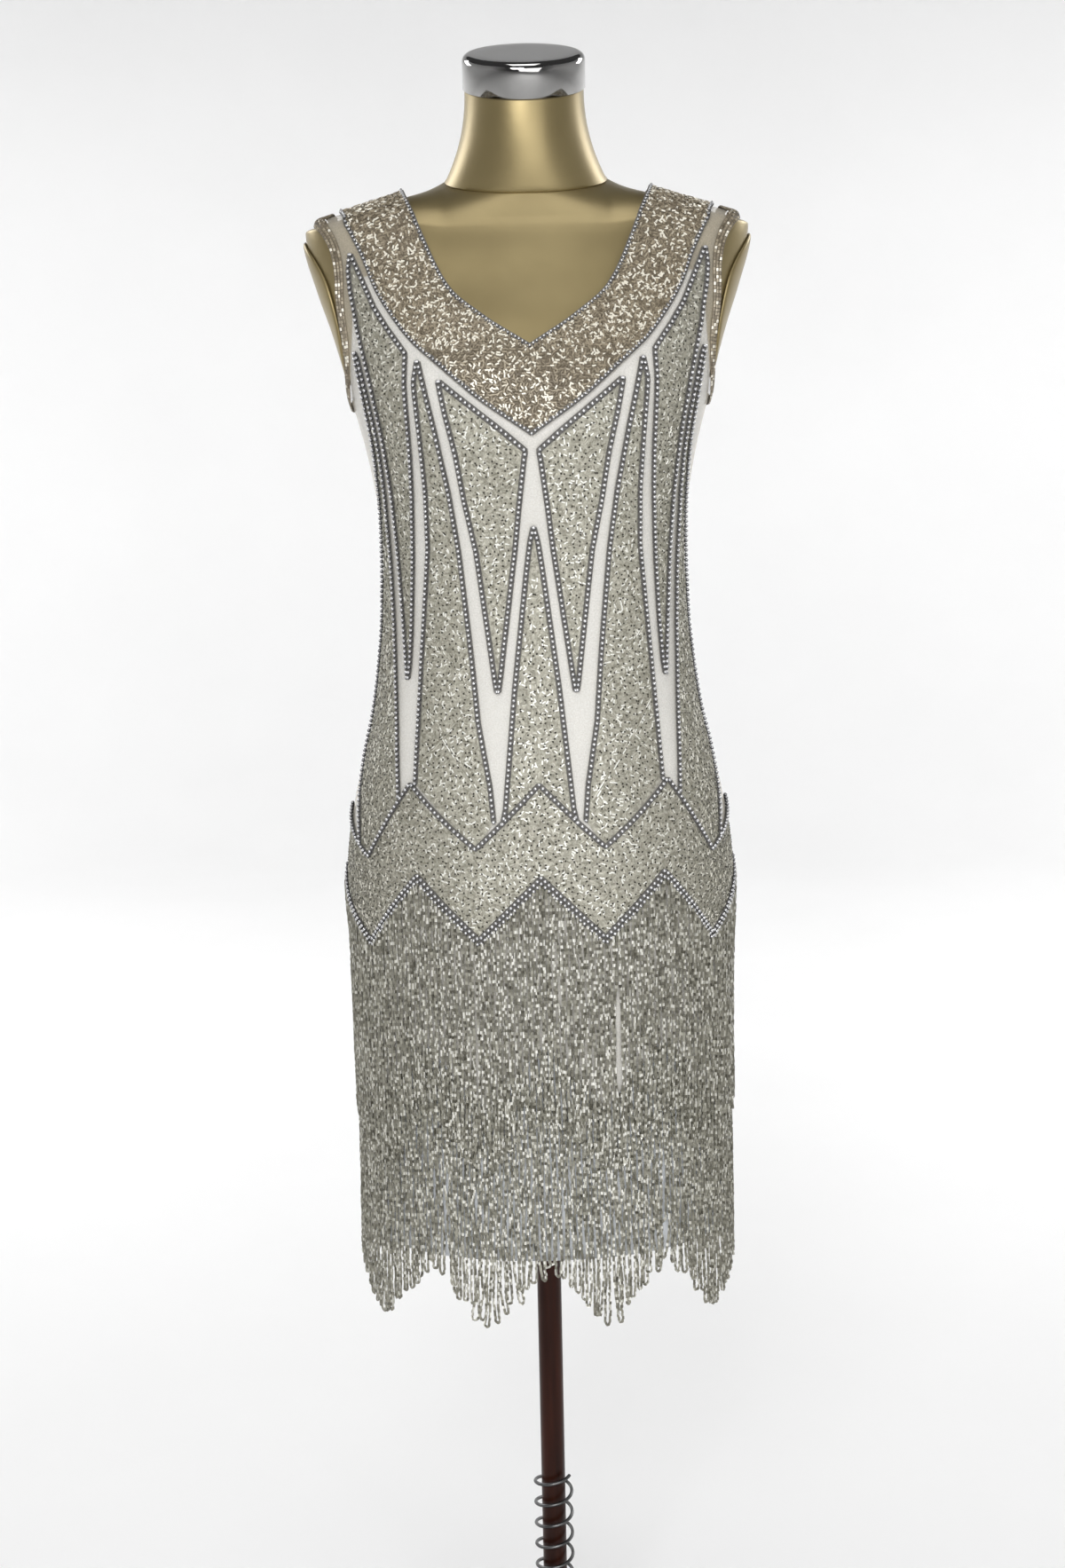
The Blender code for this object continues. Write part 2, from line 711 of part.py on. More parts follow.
def build_arm_plate(name, side_x):
    """Oval plate that closes the form where an arm would be, just inside the armhole."""
    points = [plate_point(side_x, 0.0, 0.0)]
    spokes = PLATE_SPOKES
    for ring in range(PLATE_RINGS):
        share = (ring + 1) / PLATE_RINGS
        for spoke in range(spokes):
            angle = 2 * math.pi * spoke / spokes
            points.append(plate_point(side_x, share * math.sin(angle), share * math.cos(angle)))
    faces = [(0, 1 + spoke, 1 + (spoke + 1) % spokes) for spoke in range(spokes)]
    for ring in range(PLATE_RINGS - 1):
        inner = 1 + ring * spokes
        outer = inner + spokes
        for spoke in range(spokes):
            following = (spoke + 1) % spokes
            faces.append((inner + spoke, outer + spoke, outer + following, inner + following))
    piece = mesh_object(name, points, faces, "form_gold")
    face_away_from_axis(piece.data)
    solid = piece.modifiers.new("thickness", "SOLIDIFY")
    solid.thickness = PLATE_WALL
    solid.offset = 1.0
    return piece


def plate_point(side_x, depth_share, height_share):
    y = PLATE_HALF_DEPTH * depth_share
    height = PLATE_HEIGHT + PLATE_HALF_HEIGHT * height_share
    side = -1 if y < 0 else 1
    depth = table_value(SECTIONS, "front" if side < 0 else "back", height)
    power = table_value(SECTIONS, "power", height)
    x = half_width_at(height) * (1 - (abs(y) / depth) ** power) ** (1 / power)
    return lifted(Vector((side_x * x, y, height)), PLATE_LIFT)


def turned(name, profile, segments, material_name):
    """Solid of revolution about Z from a profile of radius and height, top to bottom."""
    mesh = bpy.data.meshes.new(name)
    mesh.from_pydata([(radius, 0.0, height) for radius, height in profile], [],
                     [(index, index + 1) for index in range(len(profile) - 1)])
    piece = link_object(name, mesh, material_name)
    screw = piece.modifiers.new("turning", "SCREW")
    screw.axis = "Z"
    screw.steps = segments
    screw.render_steps = segments
    screw.use_merge_vertices = True
    screw.merge_threshold = MERGE_DISTANCE
    screw.use_normal_flip = True
    screw.use_smooth_shade = True
    return piece


def build_neck_cap():
    """Polished cap on the neck: a short drum with a rounded upper edge."""
    inner_radius = CAP_RADIUS - CAP_EDGE_RADIUS
    inner_height = CAP_HEIGHT - CAP_EDGE_RADIUS
    profile = [(0.0, CAP_HEIGHT)]
    for step in range(CAP_EDGE_STEPS + 1):
        angle = math.pi / 2 * (1 - step / CAP_EDGE_STEPS)
        profile.append((inner_radius + CAP_EDGE_RADIUS * math.cos(angle),
                        inner_height + CAP_EDGE_RADIUS * math.sin(angle)))
    profile += [(CAP_RADIUS, 0.0), (0.0, 0.0)]
    cap = turned("neck_cap", profile, 36, "chrome")
    cap.rotation_euler = (NECK_TILT, 0.0, 0.0)
    upward = Vector((0.0, -math.sin(NECK_TILT), math.cos(NECK_TILT)))
    cap.location = NECK_TOP + upward * PIECE_GAP
    return cap


def build_pole():
    bottom = HUB_HEIGHT + PIECE_GAP
    top = FORM_BOTTOM - PIECE_GAP
    profile = [(0.0, top), (POLE_RADIUS, top), (POLE_RADIUS, bottom), (0.0, bottom)]
    return turned("pole", profile, 24, "mahogany")


def build_base():
    """Round weighted base with a tall collar that the pole and its spring stand on."""
    profile = [
        (0.0, HUB_HEIGHT),
        (HUB_RADIUS - HUB_EDGE, HUB_HEIGHT),
        (HUB_RADIUS, HUB_HEIGHT - HUB_EDGE),
        (HUB_RADIUS, HUB_FOOT_HEIGHT),
        (HUB_FOOT_RADIUS, BASE_HEIGHT),
        (BASE_RADIUS - BASE_EDGE, BASE_RIM_HEIGHT),
        (BASE_RADIUS, BASE_RIM_HEIGHT - BASE_EDGE),
        (BASE_RADIUS, 0.0),
        (0.0, 0.0),
    ]
    return turned("base", profile, 36, "base_enamel")


def build_spring():
    """Compression spring that rests on the base's collar, round the foot of the pole."""
    bottom = HUB_HEIGHT + SPRING_WIRE + PIECE_GAP
    turns = (SPRING_TOP - bottom) / SPRING_PITCH
    count = round(turns * SPRING_STEPS)
    curve = bpy.data.curves.new("spring", "CURVE")
    curve.dimensions = "3D"
    curve.bevel_depth = SPRING_WIRE
    curve.bevel_resolution = 1
    curve.use_fill_caps = True
    spline = curve.splines.new("POLY")
    spline.points.add(count)
    for index, point in enumerate(spline.points):
        angle = 2 * math.pi * index / SPRING_STEPS
        height = bottom + (SPRING_TOP - bottom) * index / count
        point.co = (SPRING_RADIUS * math.cos(angle), SPRING_RADIUS * math.sin(angle), height, 1.0)
    return link_object("spring", curve, "spring_steel")


def main():
    clear_scene()
    if COLLECTION not in bpy.data.collections:
        bpy.context.scene.collection.children.link(bpy.data.collections.new(COLLECTION))
    build_base()
    build_pole()
    build_spring()
    build_torso()
    build_neck()
    build_neck_cap()
    for label, side_x in (("left", -1), ("right", 1)):
        build_arm_plate("arm_plate_" + label, side_x)
        build_binding("armhole_binding_" + label, side_x)
    for label, side in (("front", -1), ("back", 1)):
        build_slip("slip_" + label, side)
        build_net("net_" + label, side)
        build_neck_band("neck_band_" + label, side)
        for tier in (UPPER_TIER, LOWER_TIER):
            build_fringe(f"fringe_{tier.name}_{label}", side, tier)


main()
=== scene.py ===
"""Looks of the beaded fringe dress on its limbless form.

Metres, +Z up, the front faces -Y. A place on the dress is a side (-1 in front, 1 behind), a
hand (-1 left, 1 right), a height, and an arc: the distance along a level section from the
middle of that side. A share is an arc as a part of the way from the middle to the side seam.
"""
import math
from collections import namedtuple

import bpy
import numpy as np
from mathutils import Matrix, Vector


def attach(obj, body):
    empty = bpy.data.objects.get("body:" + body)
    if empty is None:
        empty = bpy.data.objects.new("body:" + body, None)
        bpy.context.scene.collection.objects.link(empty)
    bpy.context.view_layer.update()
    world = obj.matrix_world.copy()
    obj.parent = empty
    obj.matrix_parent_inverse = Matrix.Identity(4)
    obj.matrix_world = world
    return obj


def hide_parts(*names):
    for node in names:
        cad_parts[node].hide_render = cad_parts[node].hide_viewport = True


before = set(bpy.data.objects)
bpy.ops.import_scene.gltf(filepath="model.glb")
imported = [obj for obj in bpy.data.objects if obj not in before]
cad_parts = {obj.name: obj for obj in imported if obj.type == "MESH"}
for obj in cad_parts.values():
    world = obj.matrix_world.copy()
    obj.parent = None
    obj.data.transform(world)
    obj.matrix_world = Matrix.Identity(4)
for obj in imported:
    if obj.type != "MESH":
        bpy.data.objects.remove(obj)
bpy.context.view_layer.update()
random = np.random.default_rng(1925)

FRONT, BACK = -1, 1
SIDES = (("front", FRONT), ("back", BACK))
HANDS = (("left", -1), ("right", 1))

# Lifts over the form's skin
SLIP_LIFT = 0.0020
NET_LIFT = 0.0042
HIP_LIFT = 0.0045
PANEL_LIFT = 0.0046
BUGLE_LIFT = 0.0047
FINE_LINE_LIFT = 0.0049
DOT_LIFT = 0.0053
BAND_LIFT = 0.0054
# Painted shadow strip under the panels' silver balls
BALL_SHADOW_LIFT = 0.0055
BINDING_LIFT = 0.0056
BAND_BUGLE_LIFT = 0.0058
BINDING_BUGLE_LIFT = 0.0060
BALL_LIFT = 0.0062
# Painted shadow strip under the neck band's silver balls
BAND_BALL_SHADOW_LIFT = 0.0066
STRAND_LIFT = 0.0066
BAND_BALL_LIFT = 0.0072

# Garment
BASE_LEVEL = 1.247
SHOULDER_TIP_HEIGHT = 1.3865
NECK_SIDE_HEIGHT = 1.4125
BACK_NECK_SHARE = 0.60
BACK_RISE_START = 1.120
BACK_RISE_END = 1.2025
SLIP_HEM = 0.506
ARMHOLE_HEIGHT = 1.305
ARMHOLE_RISE = 0.088
ARMHOLE_DROP = 0.0585
ARMHOLE_HALF_DEPTH = 0.0545
ARMHOLE_TOP_POWER = 3.5
ARMHOLE_FOOT_POWER = 2.2
BINDING_WIDTH = 0.0085
BINDING_INSET = 0.0015
PIECE_GAP = 0.0003
SLIP_WALL = 0.0006
TRIM_WALL = 0.0004
CLOTH_ROW_STEP = 0.016
HIP_FOOT_DROP = 0.004
HIP_LOW, HIP_HIGH = 0.772, 0.930

# Beads
BUGLE_LENGTH = 0.0034
BUGLE_RADIUS = 0.00062
PANEL_SPACING = 0.0032
DOT_SPACING = 0.0056
DOT_RADIUS = 0.0011
BAND_BUGLE_LENGTH = 0.0032
BAND_BUGLE_RADIUS = 0.0008
BAND_SPACING = 0.0023
BINDING_BUGLE_LENGTH = 0.0025
BINDING_BUGLE_RADIUS = 0.0011
BINDING_ROWS = (0.16, 0.50, 0.84)
PANEL_MARGIN = 0.0022
DOT_MARGIN = 0.0030
ROW_SHARE = 0.87
BEAD_STRAY = 0.38
FINE_LINE_HALF_GAP = 0.0011
FINE_PITCH = 0.0029
# Painted shadow strips under the lines of silver balls
BALL_SHADOW_WIDTH = 0.0046
BAND_BALL_SHADOW_WIDTH = 0.0038
BALL_SHADOW_STEP = 0.0030
BALL_RADIUS = 0.0019
BALL_PITCH = 0.0045
EDGE_BALL_RADIUS = 0.0015
EDGE_BALL_PITCH = 0.0035
HIP_BALL_RISES = (0.0012, 0.0062)
# Lean, from the outward direction, toward the highlight painted on each silver ball
PAINTED_HIGHLIGHT_LEAN = np.array([-0.25, 0.0, 0.75])
STRAND_BEAD_LENGTH = 0.0027
STRAND_BEAD_RADIUS = 0.00135
LOOPS_PER_SIDE = 84
LOOP_TURN_RADIUS = 0.0016
HANG_LEVEL = 0.80

# Distances from the middle between which painted shade darkens colours toward the side seams
SIDE_SHADE_START, SIDE_SHADE_END = 0.05, 0.16

# Form and stand
FORM_BOTTOM = 0.800
FORM_EDGE_HEIGHT = 0.006
FORM_FOOT_SHARE = 0.970
PLATE_HEIGHT = 1.320
PLATE_HALF_HEIGHT = 0.060
PLATE_HALF_DEPTH = 0.046
PLATE_LIFT = 0.0010
PLATE_WALL = 0.0022
NECK_SEAM_SLOPE = 0.30
NECK_SLOPE_START = 1.340
NECK_BARE_INNER = 0.070
NECK_BARE_OUTER = 0.098
NECK_TILT = math.radians(20.0)
NECK_TOP_RADIUS = 0.0498
NECK_TOP = np.array([0.0, -0.016, 1.4990])
NECK_FLARE = 2.2
CAP_RADIUS = 0.0512
CAP_HEIGHT = 0.0285
CAP_EDGE_RADIUS = 0.006
POLE_RADIUS = 0.0112
SPRING_RADIUS = 0.0172
SPRING_WIRE = 0.0016
SPRING_PITCH = 0.0214
SPRING_TOP = 0.245
BASE_RADIUS = 0.170
BASE_HEIGHT = 0.016
BASE_RIM_HEIGHT = 0.012
BASE_EDGE = 0.006
HUB_RADIUS = 0.024
HUB_HEIGHT = 0.095
HUB_EDGE = 0.002
HUB_FOOT_RADIUS = 0.044
HUB_FOOT_HEIGHT = 0.032

Section = namedtuple("Section", "height half_width front back power")
SECTIONS = [
    Section(0.420, 0.1620, 0.114, 0.116, 2.15),
    Section(0.560, 0.1615, 0.113, 0.115, 2.15),
    Section(0.685, 0.1625, 0.113, 0.116, 2.20),
    Section(0.750, 0.1640, 0.115, 0.118, 2.20),
    Section(0.825, 0.1675, 0.118, 0.121, 2.20),
    Section(0.890, 0.1610, 0.115, 0.116, 2.20),
    Section(0.936, 0.1500, 0.108, 0.104, 2.20),
    Section(0.980, 0.1385, 0.100, 0.092, 2.20),
    Section(1.020, 0.1325, 0.094, 0.084, 2.20),
    Section(1.066, 0.1282, 0.090, 0.080, 2.20),
    Section(1.108, 0.1275, 0.091, 0.080, 2.20),
    Section(1.151, 0.1298, 0.099, 0.084, 2.25),
    Section(1.182, 0.1342, 0.109, 0.088, 2.30),
    Section(1.217, 0.1415, 0.117, 0.093, 2.35),
    Section(1.248, 0.1500, 0.115, 0.096, 2.50),
    Section(1.303, 0.1650, 0.099, 0.096, 2.70),
    Section(1.338, 0.1765, 0.084, 0.090, 2.80),
    Section(1.376, 0.1870, 0.070, 0.079, 2.80),
    Section(1.3865, 0.1880, 0.0658, 0.0745, 2.74),
    Section(1.3930, 0.1690, 0.0630, 0.0712, 2.68),
    Section(1.3970, 0.1560, 0.0613, 0.0690, 2.63),
    Section(1.4125, 0.1060, 0.0555, 0.0595, 2.42),
    Section(1.4260, 0.0690, 0.0510, 0.0490, 2.15),
]

Edge = namedtuple("Edge", "height half_width")
NECKLINE = [
    Edge(1.2826, 0.0000),
    Edge(1.3064, 0.0369),
    Edge(1.3266, 0.0617),
    Edge(1.3383, 0.0697),
    Edge(1.3513, 0.0764),
    Edge(1.3695, 0.0843),
    Edge(1.3920, 0.0938),
    Edge(1.4125, 0.1030),
]
BAND_OUTER = [
    Edge(1.2153, 0.0000),
    Edge(1.2413, 0.0380),
    Edge(1.2689, 0.0704),
    Edge(1.2912, 0.0945),
    Edge(1.3200, 0.1145),
    Edge(1.3400, 0.1242),
    Edge(1.3640, 0.1325),
    Edge(1.3920, 0.1442),
    Edge(1.4125, 0.1545),
]

SlipEdge = namedtuple("SlipEdge", "height neckline armhole_inset")
SLIP_EDGES = [
    SlipEdge(1.217, 0.000, 0.000),
    SlipEdge(1.247, 0.046, 0.000),
    SlipEdge(1.2826, 0.087, 0.002),
    SlipEdge(1.320, 0.113, 0.008),
    SlipEdge(1.350, 0.126, 0.012),
]

# Corners of the zigzags, as shares of the way from the middle to the side seam
Corner = namedtuple("Corner", "share upper lower")
FRINGE_ZIGZAG = [
    Corner(0.0, 0.842, 0.702),
    Corner(3 / 13, 0.789, 0.643),
    Corner(6 / 13, 0.842, 0.698),
    Corner(9 / 13, 0.779, 0.636),
    Corner(1.0, 0.832, 0.680),
]
HipCorner = namedtuple("HipCorner", "share height")
HIP_ZIGZAG = [
    HipCorner(0.0, 0.925),
    HipCorner(0.2385, 0.872),
    HipCorner(0.523, 0.924),
    HipCorner(0.700, 0.858),
    HipCorner(1.0, 0.893),
]

Tier = namedtuple("Tier", "name length flare")
UPPER_TIER = Tier("upper", 0.203, 0.0032)
LOWER_TIER = Tier("lower", 0.198, 0.0030)

# Beaded panels: the arcs of their inner and outer edges at a few heights. Spikes stand on the
# hip band and wedges point down from the neckline, and the two kinds alternate.
PanelRow = namedtuple("PanelRow", "height inner outer")
PANELS = {
    "centre_spike": [
        PanelRow(0.8935, 0.0, 0.0305),
        PanelRow(0.905, 0.0, 0.0280),
        PanelRow(1.006, 0.0, 0.0180),
        PanelRow(1.099, 0.0, 0.0070),
        PanelRow(1.128, 0.0, 0.0032),
        PanelRow(1.140, 0.0, 0.0002),
    ],
    "bust_wedge": [
        PanelRow(1.002, 0.0315, 0.0330),
        PanelRow(1.012, 0.0300, 0.0345),
        PanelRow(1.121, 0.0155, 0.0475),
        PanelRow(1.161, 0.0112, 0.0555),
        PanelRow(1.199, 0.0062, 0.0615),
        PanelRow(1.2025, 0.0050, 0.0622),
        PanelRow(1.232, 0.0420, 0.0693),
        PanelRow(1.257, 0.0730, 0.0742),
    ],
    "waist_spike": [
        PanelRow(0.8720, 0.0535, 0.0545),
        PanelRow(0.8950, 0.0380, 0.0775),
        PanelRow(0.9240, 0.0405, 0.1060),
        PanelRow(0.976, 0.0490, 0.1025),
        PanelRow(1.026, 0.0530, 0.0985),
        PanelRow(1.053, 0.0555, 0.0960),
        PanelRow(1.121, 0.0620, 0.0895),
        PanelRow(1.171, 0.0690, 0.0895),
        PanelRow(1.213, 0.0773, 0.0920),
        PanelRow(1.257, 0.0870, 0.0948),
        PanelRow(1.273, 0.0905, 0.0915),
    ],
    "armhole_wedge": [
        PanelRow(1.012, 0.1125, 0.1140),
        PanelRow(1.024, 0.1105, 0.1150),
        PanelRow(1.055, 0.1080, 0.1175),
        PanelRow(1.110, 0.1050, 0.1220),
        PanelRow(1.170, 0.1030, 0.1280),
        PanelRow(1.200, 0.1025, 0.1315),
        PanelRow(1.257, 0.1030, 0.1370),
        PanelRow(1.280, 0.1010, 0.1405),
        PanelRow(1.302, 0.1165, 0.1440),
        PanelRow(1.318, 0.1265, 0.1453),
        PanelRow(1.335, 0.1338, 0.1475),
        PanelRow(1.350, 0.1400, 0.1482),
        PanelRow(1.362, 0.1452, 0.1462),
    ],
    "side_spike": [
        PanelRow(0.8585, 0.1600, 0.1610),
        PanelRow(0.8680, 0.1530, 0.1740),
        PanelRow(0.9120, 0.1230, 0.1815),
        PanelRow(0.9500, 0.1250, 0.1850),
        PanelRow(1.000, 0.1275, 0.1800),
        PanelRow(1.050, 0.1300, 0.1700),
        PanelRow(1.098, 0.1330, 0.1600),
        PanelRow(1.145, 0.1375, 0.1530),
        PanelRow(1.190, 0.1395, 0.1505),
        PanelRow(1.245, 0.1435, 0.1505),
        PanelRow(1.278, 0.1475, 0.1515),
        PanelRow(1.284, 0.1500, 0.1510),
    ],
}

# First table rows that the lines of balls take in, on a panel's outer and inner edges
OUTLINE_STARTS = {"waist_spike": (2, 1), "side_spike": (1, 2)}

# Fine double lines of beads that cross on the waist spikes
FineLine = namedtuple("FineLine", "top_arc top bottom_arc bottom")
FINE_LINES = [
    FineLine(0.0928, 1.0536, 0.0535, 1.0010),
    FineLine(0.0985, 0.9909, 0.0450, 0.9113),
    FineLine(0.0547, 0.9894, 0.1050, 0.9375),
]

# Places where the strands stand apart and the slip shows
Parting = namedtuple("Parting", "side arc top bottom width")
PARTINGS = [
    Parting(FRONT, 0.0615, 0.762, 0.648, 0.0042),
    Parting(FRONT, 0.1000, 0.612, 0.506, 0.0040),
    Parting(FRONT, -0.0040, 0.735, 0.665, 0.0012),
    Parting(FRONT, 0.0120, 0.800, 0.700, 0.0014),
    Parting(FRONT, -0.0560, 0.760, 0.660, 0.0014),
    Parting(BACK, -0.0480, 0.770, 0.655, 0.0034),
    Parting(BACK, 0.0300, 0.740, 0.650, 0.0014),
]


# Smooth curves through the tables


def curve(table, column):
    """Function of height on a curve through a column's rows that never overshoots them."""
    heights = np.array([row.height for row in table])
    values = np.array([getattr(row, column) for row in table])
    spans = np.diff(heights)
    slopes = np.diff(values) / spans
    turning = slopes[1:] * slopes[:-1] <= 0
    total = np.where(turning, 1.0, slopes[1:] + slopes[:-1])
    inner = np.where(turning, 0.0, 2 * slopes[1:] * slopes[:-1] / total)
    tangents = np.concatenate([slopes[:1], inner, slopes[-1:]])

    def value(height):
        height = np.clip(height, heights[0], heights[-1])
        index = np.clip(np.searchsorted(heights, height, side="right") - 1, 0, len(spans) - 1)
        share = (height - heights[index]) / spans[index]
        square, cube = share ** 2, share ** 3
        return (values[index] * (2 * cube - 3 * square + 1)
                + tangents[index] * spans[index] * (cube - 2 * square + share)
                + values[index + 1] * (3 * square - 2 * cube)
                + tangents[index + 1] * spans[index] * (cube - square))

    return value


half_width_at = curve(SECTIONS, "half_width")
front_at = curve(SECTIONS, "front")
back_at = curve(SECTIONS, "back")
power_at = curve(SECTIONS, "power")
neckline_at = curve(NECKLINE, "half_width")
band_outer_at = curve(BAND_OUTER, "half_width")
slip_neckline_at = curve(SLIP_EDGES, "neckline")
slip_inset_at = curve(SLIP_EDGES, "armhole_inset")


# The form's skin, which everything is lifted from


def depth_at(height, side):
    """Depth in front where the side is below zero, and behind elsewhere."""
    return np.where(np.asarray(side) < 0, front_at(height), back_at(height))


def section_point(turn, height, side):
    """Point of a level section, at a turn from 0 in the middle to a right angle at the side seam."""
    power = power_at(height)
    x = half_width_at(height) * np.sin(turn) ** (2 / power)
    y = side * depth_at(height, side) * np.maximum(np.cos(turn), 0.0) ** (2 / power)
    return np.stack(np.broadcast_arrays(x, y, height), -1)


def skin_point(x, height, side):
    """Point of the skin at a distance from the middle."""
    half_width = half_width_at(height)
    power = power_at(height)
    x = np.minimum(x, half_width)
    inside = np.maximum(0.0, 1.0 - (x / half_width) ** power)
    y = side * depth_at(height, side) * inside ** (1 / power)
    return np.stack(np.broadcast_arrays(x, y, height), -1)


def skin_x(y, height):
    """Distance from the middle of the skin's point that lies y away from the seams."""
    power = power_at(height)
    return half_width_at(height) * (1 - (np.abs(y) / depth_at(height, y)) ** power) ** (1 / power)


GRID_LOW, GRID_STEP, GRID_SHARES = 0.420, 0.002, 160
GRID_HEIGHTS = GRID_LOW + GRID_STEP * np.arange(504)
TURNS = np.linspace(0.0, math.pi / 2, 241)
SLOPE_STEP = 0.0002


def ruled(side):
    """Turns at even arcs, and the arc from the middle to the side seam, at each grid height."""
    points = section_point(TURNS[None, :], GRID_HEIGHTS[:, None], side)
    steps = np.linalg.norm(np.diff(points, axis=1), axis=2)
    arcs = np.concatenate([np.zeros((len(steps), 1)), np.cumsum(steps, axis=1)], axis=1)
    shares = np.linspace(0.0, 1.0, GRID_SHARES + 1)
    turns = np.array([np.interp(shares * row[-1], row, TURNS) for row in arcs])
    return turns, arcs[:, -1]


RULED = {side: ruled(side) for _, side in SIDES}


def grid_rows(height):
    place = np.clip((height - GRID_LOW) / GRID_STEP, 0.0, len(GRID_HEIGHTS) - 1.001)
    low = place.astype(int)
    return low, place - low


def quarter_arc(height, side):
    """Arc from the middle to the side seam."""
    low, share = grid_rows(np.asarray(height, float))
    lengths = RULED[side][1]
    return lengths[low] * (1 - share) + lengths[low + 1] * share


def on_skin(arc, height, side, hand=1):
    """Points of the skin at arcs and heights. An arc below zero lies across the middle."""
    arc, height = np.broadcast_arrays(np.asarray(arc, float), np.asarray(height, float))
    turns = RULED[side][0]
    low, up = grid_rows(height)
    place = np.clip(np.abs(arc) / quarter_arc(height, side), 0.0, 0.99999) * GRID_SHARES
    left = place.astype(int)
    along = place - left
    turn = ((turns[low, left] * (1 - along) + turns[low, left + 1] * along) * (1 - up)
            + (turns[low + 1, left] * (1 - along) + turns[low + 1, left + 1] * along) * up)
    points = section_point(turn, height, side)
    points[..., 0] *= hand * np.where(arc < 0, -1.0, 1.0)
    return points


def excess(points):
    """1 on the skin, and more farther out."""
    x, y, z = points[..., 0], points[..., 1], points[..., 2]
    power = power_at(z)
    return ((np.abs(x) / half_width_at(z)) ** power + (np.abs(y) / depth_at(z, y)) ** power) ** (1 / power)


def changes(points):
    """Change of the excess over two steps along each axis."""
    steps = SLOPE_STEP * np.eye(3)
    return np.stack([excess(points + step) - excess(points - step) for step in steps], -1)


def outward(points):
    """Unit directions away from the skin."""
    return unit(changes(points))


def unit(vectors):
    return vectors / np.maximum(np.linalg.norm(vectors, axis=-1, keepdims=True), 1e-12)


def lifted(points, lift):
    lift = np.asarray(lift, float)
    return points + outward(points) * (lift[..., None] if lift.ndim else lift)


def to_skin(points):
    """Nearest points of the skin, found in a few short steps."""
    for _ in range(6):
        slopes = changes(points) / (2 * SLOPE_STEP)
        over = (excess(points) - 1) / np.maximum((slopes ** 2).sum(-1), 1e-9)
        points = points - slopes * over[..., None]
    return points


def surface_axes(points, turn=0.0):
    """At each point, a direction along the cloth, one across that, and the one away from it."""
    away = outward(points)
    level = unit(np.cross(np.array([0.0, 0.0, 1.0]), away))
    rising = np.cross(away, level)
    turn = np.broadcast_to(turn, points.shape[:-1])[..., None]
    along = level * np.cos(turn) + rising * np.sin(turn)
    return np.stack([along, np.cross(away, along), away], -2)


def any_way(places):
    """Directions as surface_axes gives them, turned at random."""
    return surface_axes(places, random.uniform(0, math.pi, len(places)))


# Edges of the garment


def fringe_height(share, tier):
    return np.interp(share, [c.share for c in FRINGE_ZIGZAG], [getattr(c, tier.name) for c in FRINGE_ZIGZAG])


def hip_height(share):
    return np.interp(share, [c.share for c in HIP_ZIGZAG], [c.height for c in HIP_ZIGZAG])


def shoulder_height(x):
    """Height of the shoulder's ridge at a distance from the middle."""
    heights = np.linspace(SHOULDER_TIP_HEIGHT, NECK_SIDE_HEIGHT, 200)
    return np.interp(-np.abs(x), -half_width_at(heights), heights)


def row_height(level, x):
    if level <= BASE_LEVEL:
        return np.full_like(x, level)
    share = (level - BASE_LEVEL) / (NECK_SIDE_HEIGHT - BASE_LEVEL)
    return BASE_LEVEL + share * (shoulder_height(x) - BASE_LEVEL)


def neck_drop(level, side):
    """Height in the front's tables that stands for a level on either side."""
    return level if side == FRONT else NECK_SIDE_HEIGHT - (NECK_SIDE_HEIGHT - level) / BACK_NECK_SHARE


def neck_rise(level, side):
    """Level on either side that stands for a height in the front's tables."""
    return level if side == FRONT else NECK_SIDE_HEIGHT - (NECK_SIDE_HEIGHT - level) * BACK_NECK_SHARE


def panel_height(height, side):
    """Panels reach higher behind, where the neckline is shallower."""
    height = np.asarray(height, float)
    if side == FRONT:
        return height
    share = np.clip((height - BACK_RISE_START) / (BACK_RISE_END - BACK_RISE_START), 0.0, 1.0)
    return height * (1 - share) + neck_rise(height, side) * share


def armhole_depth(height, grow=0.0):
    """Half depth of the armhole at a height, zero beyond its ends."""
    above = np.asarray(height) > ARMHOLE_HEIGHT
    reach = np.where(above, ARMHOLE_RISE, ARMHOLE_DROP) + grow
    power = np.where(above, ARMHOLE_TOP_POWER, ARMHOLE_FOOT_POWER)
    share = np.minimum(1.0, np.abs(height - ARMHOLE_HEIGHT) / reach)
    return (ARMHOLE_HALF_DEPTH + grow) * (1 - share ** power) ** (1 / power)


def armhole_x(level, side, grow):
    if level <= BASE_LEVEL:
        return half_width_at(level)
    share = (level - BASE_LEVEL) / (NECK_SIDE_HEIGHT - BASE_LEVEL)
    height = BASE_LEVEL + share * (ARMHOLE_HEIGHT + ARMHOLE_RISE - BASE_LEVEL)
    return skin_x(side * armhole_depth(height, grow), height)


def steps_along(line):
    return np.linalg.norm(np.diff(line, axis=0), axis=1)


def lengths_along(line):
    """Length of a line up to each of its points."""
    return np.concatenate([[0.0], np.cumsum(steps_along(line))])


def even_points(points, count):
    """Points spaced evenly along a line of points."""
    lengths = lengths_along(points)
    targets = np.linspace(0.0, lengths[-1], count + 1)
    return np.stack([np.interp(targets, lengths, points[:, axis]) for axis in range(3)], -1)


def skin_row(level, inner, outer, side, columns):
    x = inner + (outer - inner) * np.sin(np.linspace(0.0, math.pi / 2, 120))
    return even_points(skin_point(x, row_height(level, x), side), columns)


def even_levels(low, high, side, middle_of, spacing):
    """Levels whose rows lie evenly over the shoulder, where its slope changes."""
    levels = np.linspace(low, high, 300)
    middle = np.array([middle_of(level) for level in levels])
    heights = np.array([row_height(level, np.array([x]))[0] for level, x in zip(levels, middle)])
    lengths = lengths_along(skin_point(middle, heights, side))
    count = max(2, round(lengths[-1] / spacing))
    return np.interp(np.linspace(0.0, lengths[-1], count + 1), lengths, levels)


# Meshes


